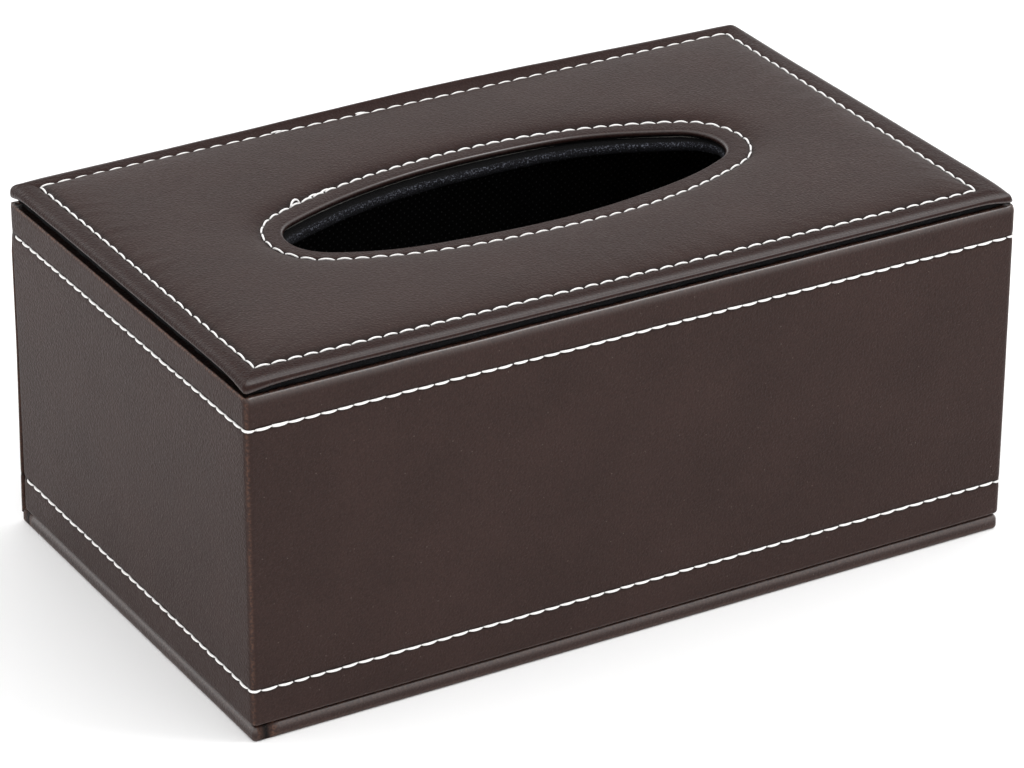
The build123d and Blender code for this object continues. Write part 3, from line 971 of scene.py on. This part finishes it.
def askew_copy(name, node, edge_trim, slot_trim, thinner):
    """A copy of a CAD piece of the lid, moved with the lid and trimmed at its edges and its top."""
    copy = bmesh.new()
    copy.from_mesh(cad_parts[node].data)
    bmesh.ops.remove_doubles(copy, verts=copy.verts, dist=0.01 * mm)
    top = corners_of(node)[1].z
    for vert in copy.verts:
        place = vert.co / mm
        point = Vector((place.x, place.y - mid_y))
        if half_length - abs(point.x) < near_edge:
            point.x -= edge_trim if point.x > 0 else -edge_trim
        if half_width - abs(point.y) < near_edge:
            point.y -= edge_trim if point.y > 0 else -edge_trim
        margin, outwards = slot_side(point)
        if margin < near_edge:
            point += outwards * (slot_trim + edge_drift(point.x, outwards))
        height = place.z - thinner if place.z > top - 0.1 else place.z
        vert.co = settled(lid_place(point, height)) * mm
    return add_piece(name, copy, smooth=False)


lid_panel = askew_copy("lid_panel", "lid_board", edge_trim=1.4, slot_trim=2.2, thinner=0.3)
dress(lid_panel, fibreboard_finish, "fibreboard", "lid_board")
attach(lid_panel, "box")
lid_nails = askew_copy("lid_nails", "lid_brads", edge_trim=0.0, slot_trim=0.0, thinner=0.7)
dress(lid_nails, brad_finish, "steel_brads", "lid_brads")
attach(lid_nails, "box")
liner_panel = askew_copy("liner_panel", "liner_card", edge_trim=0.0, slot_trim=1.5, thinner=0.2)
dress(liner_panel, card_finish, "grey_card", "liner_card")
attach(liner_panel, "box")

# %% [markdown]
# Between the walls and the lid lies a card covered in black felt. Its edge makes the dark gap under the lid,
# and inside the slot it stands a millimetre further in than the leather, as a soft dark band. The section
# goes round as one closed ring, and fine waviness roughens the edges that show.
# %% Felt liner
liner_low, liner_high = corners_of("liner_felt")
felt_overhang = 1.0
felt_skip = 2
felt_edge_roll = 0.8
felt_inset = half_length - liner_high.x + felt_edge_roll
felt_middle = (liner_low.z + liner_high.z) / 2
felt_half = (liner_high.z - liner_low.z) / 2
lip_sag = 0.7
lip_hang = 1.6
felt_lip = range(2, 11)
felt_edge = range(13, 18)


def felt_rings():
    """Rings of the felt: in along the top, round the slot's lip, out underneath and up the outer edge."""
    rows = [(edge_ring(felt_inset), liner_high.z), (slot_ring(3.0), liner_high.z)]
    for step in range(9):
        turn = pi / 2 - pi * step / 8
        margin = 0.2 - (felt_overhang + 0.2) * cos(turn)
        rows.append((slot_ring(margin), felt_middle + felt_half * sin(turn)))
    rows += [(slot_ring(3.0), liner_low.z), (edge_ring(felt_inset), liner_low.z)]
    for step in range(1, 6):
        turn = pi / 2 - pi * step / 6
        edge = edge_ring(felt_inset - felt_edge_roll * cos(turn))
        rows.append((edge, felt_middle - felt_half * sin(turn)))
    return rows + rows[:1]


felt_rows = felt_rings()


def felt_place(column, row):
    ring, height = felt_rows[row]
    point = ring[(column * felt_skip) % lid_columns]
    place = Vector((point.x, point.y, height))
    if row in felt_lip:
        outwards = slot_point(share_of(column * felt_skip), 0.0)[1]
        sag = max(outwards.y, 0)
        height -= lip_sag * sag
        rough = 0.2 * wave(place, 1.1) + 0.22 * wave(place, 7.0)
        point = point + outwards * (rough - lip_hang * sag)
    if row in felt_edge:
        way = side_ways[side_of(column * felt_skip, lid_counts)[0]]
        loop = 0.3 * max(0.0, cos(pi * column / 2)) ** 2
        point = point + Vector((way.y, -way.x)) * (0.25 * wave(place, 1.3) + loop)
    return lid_place(point, height)


def felt_paint(column, row):
    """Pale flecks along the top of the lip, part loose fibres and part painted light, and painted shade
    above it and on the edge under the lid.
    """
    shaded = 0.75 if row in felt_edge else {0: 1.0, 1: 1.0, 2: 1.0, 3: 0.4}.get(row, 0.0)
    return (1.0 if 1 < row < 6 else 0.0), 0.0, shaded


felt_liner = wrap("felt_liner", lid_columns // felt_skip, felt_rows, felt_place, felt_paint)
dress(felt_liner, felt_finish, "black_felt", "liner_felt")
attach(felt_liner, "box")

# %% [markdown]
# One sheet of leather goes round both ends and the front. It is folded over the boards at the top and the
# bottom, and its two ends lap round the back corners, under the back panel. At each corner the columns are
# packed tightly, and the rub mark is painted there, because that is where a leather box wears first.
# %% Plan of the wall leather
front_stitches = 50
end_stitches = 30
wall_counts = [4 * count - 2 + 2 * corner_columns for count in (front_stitches, end_stitches) * 2]
lap_columns = 7
lap_length = 10.0
wall_start = sum(wall_counts[:3]) - corner_columns - lap_columns
wall_columns = wall_counts[3] + wall_counts[0] + wall_counts[1] + 2 * (corner_columns + lap_columns)
corner_radius = 2.0


def wall_point(column, inset):
    """A point of the wall leather's plan, further in by an inset."""
    halves = (half_length - inset, half_width - inset)
    radius = max(corner_radius - inset, 0.1)
    point = rectangle_point(wall_start + column, wall_counts, *halves, [radius] * 4)
    lap_step = max(lap_columns - column, column - (wall_columns - lap_columns), 0)
    if lap_step:
        bend = radius + inset
        reach = half_length - bend - (lap_length - bend) * lap_step / lap_columns
        point.x = reach if column > lap_columns else -reach
    return point


def corner_distance(column):
    """How many columns away the nearest corner's middle is."""
    side, step = side_of(wall_start + column, wall_counts)
    return min(step, wall_counts[side] - step)


def on_end(column):
    """1 for the columns on the two ends, 0 on the front, and in between round a corner."""
    side = side_of(wall_start + column, wall_counts)[0]
    turning = 0.5 * max(0.0, 1 - corner_distance(column) / corner_columns)
    return turning if side % 2 == 0 else 1 - turning


def is_wall_hole(column):
    """True for the columns where the needle went through."""
    step = side_of(wall_start + column, wall_counts)[1]
    return corner_distance(column) > corner_columns and (step - corner_columns) % 4 == 1


print("wall leather:", wall_columns, "columns")

# %% Rows of a wall
def row_of(inset, height, wear_and_painted_light=0.0, polished=0.0, deep_shade=0.0):
    """A row of a sheet: how far in it lies and how high, and its marks."""
    return inset, height, wear_and_painted_light, polished, deep_shade


def even_rows(low, high, count, wear_and_painted_light=0.0, polished=0.0):
    """Even rows on the flat of a wall."""
    return [row_of(0.0, low + (high - low) * step / (count - 1), wear_and_painted_light, polished) for step in range(count)]


def seam_rows(height, *gaps):
    """Rows close to a sewn row, so that the groove is round, with painted shade along the seam."""
    offsets = [-gap for gap in gaps] + [0.0] + list(reversed(gaps))
    return [row_of(0.0, height + offset, deep_shade=max(0.6 - 0.5 * abs(offset), 0.0)) for offset in offsets]


def roll_rows(centre_height, width, height, first, last, steps, wear_and_painted_light, polished, worn_at=0.55):
    """Rows over a rolled edge, from one angle to another. At 0 it faces outwards and at 90 it faces up."""
    rows = []
    for step in range(steps + 1):
        share = step / steps
        turn = radians(first + (last - first) * share)
        worn = wear_and_painted_light * hump(share, worn_at, 0.2)
        shine = polished * hump(share, 0.55, 0.3)
        rows.append(row_of(width * (1 - cos(turn)), centre_height + height * sin(turn), worn, shine))
    return rows


inner_face = board + 2 * skin
turn_in = 12.0
bottom_roll = 1.2
top_roll_width = 2.2
top_roll_height = 2.0
roll_centre = wall_top - top_roll_height
wall_rows = [
    row_of(inner_face, wall_bottom + turn_in),
    row_of(inner_face, wall_bottom + 3.0),
    row_of(inner_face, wall_bottom + 0.8),
    row_of(inner_face - 0.8, wall_bottom),
    row_of(3.0, wall_bottom),
    *roll_rows(wall_bottom + bottom_roll, bottom_roll, bottom_roll, -90, 0, 5, wear_and_painted_light=0.3, polished=0.7),
    *even_rows(wall_bottom + 2.4, lower_row - 3.4, 4),
    *seam_rows(lower_row, 2.2, 1.2, 0.6),
    *even_rows(lower_row + 4.0, upper_row - 4.0, 13),
    *seam_rows(upper_row, 2.2, 1.2, 0.6),
    *even_rows(upper_row + 2.6, wall_top - 1.5 * top_roll_height - 0.4, 3),
    *roll_rows(roll_centre, top_roll_width, top_roll_height, 0, 90, 10, 0.6, 1.0, worn_at=0.9),
    row_of(3.0, wall_top, wear_and_painted_light=0.6),
    row_of(inner_face - 0.8, wall_top),
    row_of(inner_face, wall_top - 0.8),
    row_of(inner_face, wall_top - 4.0),
    row_of(inner_face, wall_top - turn_in),
]
print("wall leather:", len(wall_rows), "rows")

# %% Make the wall leather
def seam_pull(height, depth, hole_depth, reach):
    """How deep the nearer sewn row draws the leather of a wall in. hole_depth is 0 away from the holes."""
    gap = min(abs(height - upper_row), abs(height - lower_row))
    return depth * hump(gap, 0, 0.8) + hole_depth * exp(-gap / reach)


def wall_leather_place(column, row):
    inset, height = wall_rows[row][:2]
    raised = 0.0
    if inset <= top_roll_width and height >= roll_centre:
        end = on_end(column)
        reach = inset / top_roll_width
        crown = sin(pi * min(reach + 0.25 * (1 - reach), 1)) - sin(pi * 0.25) * (1 - reach)
        raised = (0.95 - 0.45 * end) * crown
        inset *= 1.15 - 0.65 * end
        height = wall_top - (wall_top - height) * (1.5 - end)
    outside = inset < 1.4
    hole_depth = 0.14 if is_wall_hole(column) else 0.0
    depth = seam_pull(height, 0.3, hole_depth, reach=1.4) if outside else 0.0
    point = wall_point(column, inset + depth)
    place = Vector((point.x, point.y + mid_y, height + raised))
    if outside:
        swell_out = 0.1 * wave(place, 45) + 0.05 * wave(place, 12)
        outwards = Vector((point.x / half_length, point.y / half_width, 0))
        outwards[1 if abs(outwards.x) > abs(outwards.y) else 0] = 0.0
        place += outwards * swell_out
    if height > roll_centre and inset < inner_face - 1:
        flat = wall_point(column, 0.0)
        place.z += 0.12 * wave(Vector((flat.x, flat.y, 3)), 16) - 0.06
    return place


def wall_leather_paint(column, row):
    """The top edge is marked most, with wear and painted light: under the lid on the front, and on the
    roll's shoulder on the ends.
    """
    inset, height, wear_and_painted_light, polished, deep_shade = wall_rows[row]
    rolled = (height - wall_top) / top_roll_height + 1
    dark = 0.0
    if rolled > 0:
        end = on_end(column)
        polished *= 1 - 0.5 * end
        # On the front the top of the roll gets warm painted bounce light and painted shade in the lid's
        # shadow; on the ends a light line on the shoulder, part wear and part painted highlight, and painted
        # deep shade at the very top.
        wear_and_painted_light = 0.5 * hump(rolled, 1, 0.3) * (1 - end) + 0.9 * hump(rolled, 0.7, 0.25) * end
        dark = 0.7 * eased(rolled, 0.85, 0.15) * (1 - end)
        deep_shade = 0.75 * end if rolled > 0.97 else 0.0
    upright = max(0.0, 1 - corner_distance(column) / 2.2) if inset < 0.5 else 0.0
    # Painted deep shade in the needle holes.
    if deep_shade > 0.5 and is_wall_hole(column):
        deep_shade = 0.95
    return max(wear_and_painted_light, 0.6 * upright), max(polished, 0.3 * upright), deep_shade, dark


side_leather = wrap("side_leather", wall_columns - 1, wall_rows, wall_leather_place, wall_leather_paint)
thicken(side_leather, skin)
dress(side_leather, leather_finish, "brown_leather", "side_skin")
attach(side_leather, "box")

# %% [markdown]
# The back is one panel of leather from inside the top edge down to the hinge, where it goes on to the flap
# as a crease. Below the middle it hangs free and leans out. The panel and the crease are one mesh, with no
# gap between them.
# %% Back leather and hinge crease
back_half = half_length - 0.4
back_stitches = 50
back_columns = 4 * back_stitches
back_roll = 1.0
free_height = 60.0
panel_face = half_width + skin
hinge_face = strip_high.y - mid_y
inner_depth = skin + inner_face
back_rows = [
    *even_rows(strip_low.z, strip_high.z, 11, wear_and_painted_light=0.15, polished=0.3),
    *even_rows(strip_high.z, lower_row - 2.6, 4)[1:],
    *seam_rows(lower_row, 1.4, 0.6),
    *even_rows(lower_row + 1.4, upper_row - 1.4, 16)[1:-1],
    *seam_rows(upper_row, 1.4, 0.6),
    *even_rows(upper_row + 1.4, wall_top - 2.0, 4)[1:],
]
for turn in quarter(5)[1:]:
    height = wall_top - back_roll * (1 - sin(turn))
    back_rows.append(row_of(back_roll * (1 - cos(turn)), height, wear_and_painted_light=0.4 * sin(turn), polished=0.8))
back_rows += [
    row_of(3.0, wall_top),
    row_of(inner_depth - 0.8, wall_top),
    row_of(inner_depth, wall_top - 0.8),
    row_of(inner_depth, wall_top - turn_in),
]


def back_face(height):
    """How far behind the walls' centre the outer face of the back leather stands at a height."""
    return panel_face + eased(-height, -free_height, free_height - strip_high.z) * (hinge_face - panel_face)


def back_leather_place(column, row):
    inset, height = back_rows[row][:2]
    x = back_half * (1 - 2 * column / back_columns)
    y = back_face(height) - inset
    if inset > back_roll:
        x *= (half_length - lap_length) / back_half
    else:
        x *= 1 - 0.45 * eased(height, 92, 4) / back_half
        y -= seam_pull(height, 0.22, 0.12 if column % 4 == 0 else 0.0, reach=1.2)
        y += eased(height, strip_high.z, 12) * 0.12 * wave(Vector((x, 7, height)), 32)
    return Vector((x, y + mid_y, height))


def back_leather_paint(column, row):
    wear_and_painted_light, polished, deep_shade = back_rows[row][2:]
    side_edge = 0.5 if column in (0, back_columns) else 0.0
    # Painted deep shade in the needle holes.
    if deep_shade > 0.5 and column % 4 == 0:
        deep_shade = 0.95
    return max(wear_and_painted_light, side_edge), polished, deep_shade


back_leather = wrap("back_leather", back_columns, back_rows, back_leather_place, back_leather_paint)
thicken(back_leather, skin)
dress(back_leather, leather_finish, "brown_leather", "back_skin", "hinge_strip")
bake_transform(back_leather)

# %% [markdown]
# The flap's leather covers the whole underside, rolls up round the board and turns in on top. At each corner
# the two folds meet in a mitre, a fine slit just round the corner, with the cut leather paler on both sides.
# %% Flap leather
base_low, base_high = corners_of("base_skin")
base_mid_y = (base_low.y + base_high.y) / 2
base_half_x = base_high.x
base_half_y = (base_high.y - base_low.y) / 2
base_top = base_high.z
base_turn_in = 15.0
base_counts = [120, 76, 120, 76]
base_radii = [1.4] * 4
mitre_column = corner_columns + 1
base_bottom_roll = 1.0
base_roll_width = 1.5
base_roll_height = 2.0
base_rows = [row_of(inset, 0.0) for inset in (base_half_y, 50.0, 25.0, 8.0, 3.0)]
for turn in quarter(4):
    inset = base_bottom_roll * (1 - sin(turn))
    base_rows.append(row_of(inset, base_bottom_roll * (1 - cos(turn)), wear_and_painted_light=0.2, polished=0.5))
base_rows.append(row_of(0.0, 1.8, wear_and_painted_light=0.05, polished=0.3))
for turn in quarter(7):
    inset = base_roll_width * (1 - cos(turn))
    height = base_top - base_roll_height * (1 - sin(turn))
    worn = sin(2 * turn)
    base_rows.append(row_of(inset, height, wear_and_painted_light=0.25 * worn, polished=0.5 + 0.5 * worn))
base_rows += [row_of(inset, base_top) for inset in (2.2, 4.0, 9.0, base_turn_in - 0.4)]
base_rows.append(row_of(base_turn_in, base_top - 0.3))


def mitre_steps(column, row):
    """How many columns away the mitre slit of the nearest corner is, or many on the rows without a slit."""
    inset, height = base_rows[row][:2]
    if height <= 0.4 or inset >= base_turn_in - 1:
        return len(base_rows)
    side, step = side_of(column, base_counts)
    return min(abs(step - mitre_column), abs(base_counts[side] - step + mitre_column))


def base_place(column, row):
    inset, height = base_rows[row][:2]
    slit = 0.5 if mitre_steps(column, row) == 0 else 0.0
    halves = (base_half_x - inset - slit, base_half_y - inset - slit)
    gathered = 1.0 if inset < 20 else 0.0
    point = rectangle_point(column, base_counts, *halves, lowered(base_radii, inset), gathered)
    place = Vector((point.x, point.y + base_mid_y, height))
    if side_of(column, base_counts)[0] == 2 and height > strip_low.z - 0.1 and inset < 2:
        place.y = min(place.y, strip_low.y - 0.05)
    elif 0.5 < height and inset < 3:
        place.z += 0.1 * wave(Vector((point.x, point.y, 0)), 18)
    return place


def base_paint(column, row):
    steps = mitre_steps(column, row)
    # The slit is painted near black, as the shade inside it.
    if steps == 0:
        return 0.0, 0.0, 1.0
    if steps == 1:
        return 0.7, 0.3, 0.0
    return base_rows[row][2:]


base_leather = wrap("base_leather", sum(base_counts), base_rows, base_place, base_paint)
thicken(base_leather, skin)
dress(base_leather, leather_finish, "brown_leather", "base_skin")
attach(base_leather, "base_flap")

# %% [markdown]
# Black cloth is glued inside the walls and on the flap. Each is a thin sheet with a soft edge, laid on its
# board like the leather.
# %% Cloth on the walls
lining = 0.6
no_corners = [0.15] * 4
lining_low = wall_bottom + turn_in
lining_high = wall_top - turn_in
lining_counts = [48, 30, 48, 30]
lining_back = board + skin
lining_face = lining_back + lining
lining_rows = [(lining_back, lining_low), (lining_face, lining_low + 0.4)]
lining_rows += [(lining_face, lining_low + (lining_high - lining_low) * step / 8) for step in range(1, 8)]
lining_rows += [(lining_face, lining_high - 0.4), (lining_back, lining_high)]


def lining_place(column, row):
    """Columns run the other way round here, so that the faces look into the box."""
    inset, height = lining_rows[row]
    point = rectangle_point(-column, lining_counts, half_length - inset, half_width - inset, no_corners)
    return Vector((point.x, point.y + mid_y, height))


wall_cloth = wrap("wall_cloth", sum(lining_counts), lining_rows, lining_place)
thicken(wall_cloth, lining * 0.9)
dress(wall_cloth, wall_cloth_finish, "black_cloth", "wall_lining")
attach(wall_cloth, "box")

# %% Cloth on the flap
flap_low, flap_high = corners_of("base_lining")
flap_half_x = flap_high.x
flap_half_y = (flap_high.y - flap_low.y) / 2
flap_mid_y = (flap_high.y + flap_low.y) / 2
flap_rows = [(0.0, flap_low.z), (0.1, flap_high.z - 0.15)]
flap_rows += [(inset, flap_high.z) for inset in (0.4, 20.0, 45.0, flap_half_y)]


def flap_cloth_place(column, row):
    inset, height = flap_rows[row]
    point = rectangle_point(column, lining_counts, flap_half_x - inset, flap_half_y - inset, no_corners)
    return Vector((point.x, point.y + flap_mid_y, height))


flap_cloth = wrap("flap_cloth", sum(lining_counts), flap_rows, flap_cloth_place)
thicken(flap_cloth, lining * 0.9)
dress(flap_cloth, flap_cloth_finish, "black_cloth", "base_lining")
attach(flap_cloth, "base_flap")

# %% [markdown]
# Each stitch is a short arch of thick thread that comes up through one needle hole and goes down through the
# next. A small ring of seven corners is spun through an arc to make one, and every stitch on the box is a
# copy of it, bent to follow its row. Real sewing isn't even, so each copy differs a little in slant and
# size. follow(travel) gives the point, the way across and the way up at a travel along a row.
# %% One stitch
stitch_sides = 7
stitch_steps = 7
up = Vector((0, 0, 1))


def stitch_pattern(length, rise, foot, thickness, taper):
    """One stitch from -length/2 to length/2 along x, its ends a foot below the leather. Returns its mesh."""
    height = rise + foot
    radius = (length**2 / 4 + height**2) / (2 * height)
    half_turn = atan2(length / 2, radius - height)
    origin = (0, 0, 0)
    arch = bmesh.new()
    bmesh.ops.create_circle(arch, cap_ends=True, segments=stitch_sides, radius=thickness / 2)
    bmesh.ops.rotate(arch, verts=arch.verts, cent=origin, matrix=Matrix.Rotation(pi / 2, 3, "Y"))
    bmesh.ops.translate(arch, verts=arch.verts, vec=(0, 0, radius))
    bmesh.ops.rotate(arch, verts=arch.verts, cent=origin, matrix=Matrix.Rotation(-half_turn, 3, "Y"))
    geometry = arch.verts[:] + arch.edges[:] + arch.faces[:]
    turning = {"cent": origin, "axis": (0, 1, 0), "angle": 2 * half_turn}
    bmesh.ops.spin(arch, geom=geometry, steps=stitch_steps, use_duplicate=False, **turning)
    for vert in arch.verts:
        turn = atan2(vert.co.x, vert.co.z)
        slim = 1 - taper * abs(turn / half_turn) ** 3
        reach = radius + (hypot(vert.co.x, vert.co.z) - radius) * slim
        vert.co = (reach * sin(turn), vert.co.y * slim, reach * cos(turn) + rise - radius)
    bmesh.ops.recalc_face_normals(arch, faces=arch.faces)
    pattern = bpy.data.meshes.new("stitch_pattern")
    arch.to_mesh(pattern)
    arch.free()
    return pattern


def sew(cloth, pattern, start, end, follow, draw, slant, aside=0.0, lift=0.0, lean=0.0):
    """Adds one stitch to a mesh, bent between two places along a row."""
    old = set(cloth.verts)
    cloth.from_mesh(pattern)
    new = [vert for vert in cloth.verts if vert not in old]
    middle = (start + end) / 2
    turn = radians(slant + draw.uniform(-2.5, 2.5))
    grow = draw.uniform(0.92, 1.06)
    shift = draw.uniform(-0.08, 0.08) + aside
    for vert in new:
        along = vert.co.x * cos(turn) - vert.co.y * sin(turn)
        across = vert.co.x * sin(turn) + vert.co.y * cos(turn) + lean * max(vert.co.z, 0)
        point, way_across, way_up = follow(middle + along * grow)
        vert.co = settled(point + way_across * (across + shift) + way_up * (vert.co.z * grow + lift)) * mm


print("a stitch has", stitch_sides * stitch_steps + 2, "faces")

# %% [markdown]
# The row along the lid's edge is sewn side by side, and its stitches meet in the needle hole at each corner.
# Two stitches at the back were sewn twice, and lie across the others.
# %% Sew the lid's edge
edge_lengths = (4.3, 4.95, 4.9, 4.95)
edge_shape = {"rise": 0.05, "foot": 0.42, "thickness": 0.62, "taper": 0.3}
edge_patterns = [stitch_pattern(length, **edge_shape) for length in edge_lengths]
crossed_places = (157.8, 129.4)


def lid_edge_follow(side):
    """Follows one side of the row along the lid's edge."""
    start = seam_corners[side]
    way = (seam_corners[(side + 1) % 4] - start).normalized()
    outward = Vector((way.y, -way.x)).to_3d()

    def follow(travel):
        return lid_place(start + way * travel, border_top), outward, up

    return follow


def sew_lid_edge():
    draw = random.Random(11)
    cloth = bmesh.new()
    for side, count in enumerate(lid_stitches):
        step = (seam_corners[(side + 1) % 4] - seam_corners[side]).length / count
        follow = lid_edge_follow(side)
        for number in range(count):
            sew(cloth, edge_patterns[side], number * step, (number + 1) * step, follow, draw, slant=2.0)
        for place in crossed_places if side == 2 else ():
            start = place - step / 2
            sew(cloth, edge_patterns[0], start, start + step, follow, draw, slant=14.0, aside=0.35, lift=0.2)
    return add_piece("lid_edge_stitches", cloth)


lid_edge_stitches = sew_lid_edge()
dress(lid_edge_stitches, thread_finish, "white_thread", "lid_edge_thread")
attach(lid_edge_stitches, "box")

# %% Sew round the slot
slot_pattern = stitch_pattern(4.2, rise=0.08, foot=0.42, thickness=0.6, taper=0.2)
loop_pattern = stitch_pattern(4.1, rise=1.25, foot=0.3, thickness=0.55, taper=0.1)


def slot_follow(travel):
    point, outwards = slot_point(travel / oval_length, slot_seam_margin)
    return lid_place(point, border_top), outwards.to_3d(), up


def sew_slot():
    """The row starts and ends at the back left, where stitches are sewn twice and a slack loop is left."""
    draw = random.Random(23)
    cloth = bmesh.new()
    step = oval_length / slot_stitches
    for number in range(slot_stitches):
        sew(cloth, slot_pattern, number * step, (number + 1) * step, slot_follow, draw, slant=2.0)
    twice = {"slant": -2.0, "aside": 0.3, "lift": 0.12}
    for number in (46.4, 47.4):
        sew(cloth, slot_pattern, number * step, (number + 1) * step, slot_follow, draw, **twice)
    slack = {"slant": -8.0, "aside": 0.1, "lean": 0.25}
    sew(cloth, loop_pattern, 48.9 * step, 50.1 * step, slot_follow, draw, **slack)
    return add_piece("slot_stitches", cloth)


slot_row = sew_slot()
dress(slot_row, thread_finish, "white_thread", "slot_thread")
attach(slot_row, "box")

# %% [markdown]
# The rows on the walls are pulled tighter, so their stitches are lower and fatter. One stitch wraps each
# upright corner. The row across the back panel is sewn by itself, before the panel goes on.
# %% Sew the walls
wall_pattern = stitch_pattern(4.75, rise=0.1, foot=0.34, thickness=0.76, taper=0.5)
corner_x = half_length - corner_radius
corner_y = half_width - corner_radius
quarter_arc = pi / 2 * corner_radius
wall_runs = [
    (Vector((-half_length, corner_y)), pi, 2 * corner_y, end_stitches),
    (Vector((-corner_x, -half_width)), 1.5 * pi, 2 * corner_x, front_stitches),
    (Vector((half_length, -corner_y)), 2 * pi, 2 * corner_y, end_stitches),
]


def walls_plan(travel):
    """The point at a travel round the walls, from the back of the left end, and the angle that it faces."""
    for start, angle, straight, _ in wall_runs:
        way = Vector((-sin(angle), cos(angle)))
        if travel < straight:
            return start + way * travel, angle
        travel -= straight
        if travel < quarter_arc:
            centre = start + way * straight - Vector((cos(angle), sin(angle))) * corner_radius
            angle += travel / corner_radius
            return centre + Vector((cos(angle), sin(angle))) * corner_radius, angle
        travel -= quarter_arc


def walls_follow(height):
    """Follows a sewn row round the walls."""

    def follow(travel):
        point, angle = walls_plan(travel)
        return Vector((point.x, point.y + mid_y, height)), up, Vector((cos(angle), sin(angle), 0))

    return follow


def back_follow(height):
    """Follows the row across the back panel."""

    def follow(travel):
        return Vector((back_half - travel, back_face(height) + mid_y, height)), up, Vector((0, 1, 0))

    return follow


def sew_walls(name, height, seed, doubled=()):
    """A row round the walls and one across the back. The doubled stitches are sewn twice."""
    draw = random.Random(seed)
    cloth = bmesh.new()
    follow = walls_follow(height)
    places = []
    begin = -quarter_arc / 2
    for _, _, straight, count in wall_runs:
        step = (straight + quarter_arc) / count
        places += [begin + (number + 0.5) * step for number in range(count)]
        begin += straight + quarter_arc
    for first, second in zip(places, places[1:]):
        sew(cloth, wall_pattern, first, second, follow, draw, slant=-0.5)
    back = back_follow(height)
    step = 2 * back_half / back_stitches
    for number in range(back_stitches):
        sew(cloth, wall_pattern, number * step, (number + 1) * step, back, draw, slant=0.5)
    twice = {"slant": -1.5, "aside": 0.16, "lift": 0.14}
    for number in doubled:
        sew(cloth, wall_pattern, places[number], places[number + 1], follow, draw, **twice)
    return add_piece(name, cloth)


upper_stitches = sew_walls("upper_stitches", upper_row, 37, doubled=(30, 31))
lower_stitches = sew_walls("lower_stitches", lower_row, 41)
dress(upper_stitches, thread_finish, "white_thread", "upper_band_thread")
dress(lower_stitches, thread_finish, "white_thread", "lower_band_thread")
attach(upper_stitches, "box")
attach(lower_stitches, "box")

# %% [markdown]
# The other boards, the back card, the wall brads and the magnets keep their CAD shapes and only get their
# finishes.
# %% Finish the CAD pieces
wall_boards = ["front_wall_board", "back_wall_board", "left_wall_board", "right_wall_board"]
finishes = {
    fibreboard_finish: wall_boards + ["base_board"],
    card_finish: ["back_card"],
    brad_finish: ["wall_brads"],
    magnet_finish: ["wall_magnets", "base_magnets"],
}
for finish, nodes in finishes.items():
    for node in nodes:
        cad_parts[node].data.materials.clear()
        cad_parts[node].data.materials.append(finish)
print("CAD pieces finished:", sum(len(nodes) for nodes in finishes.values()))
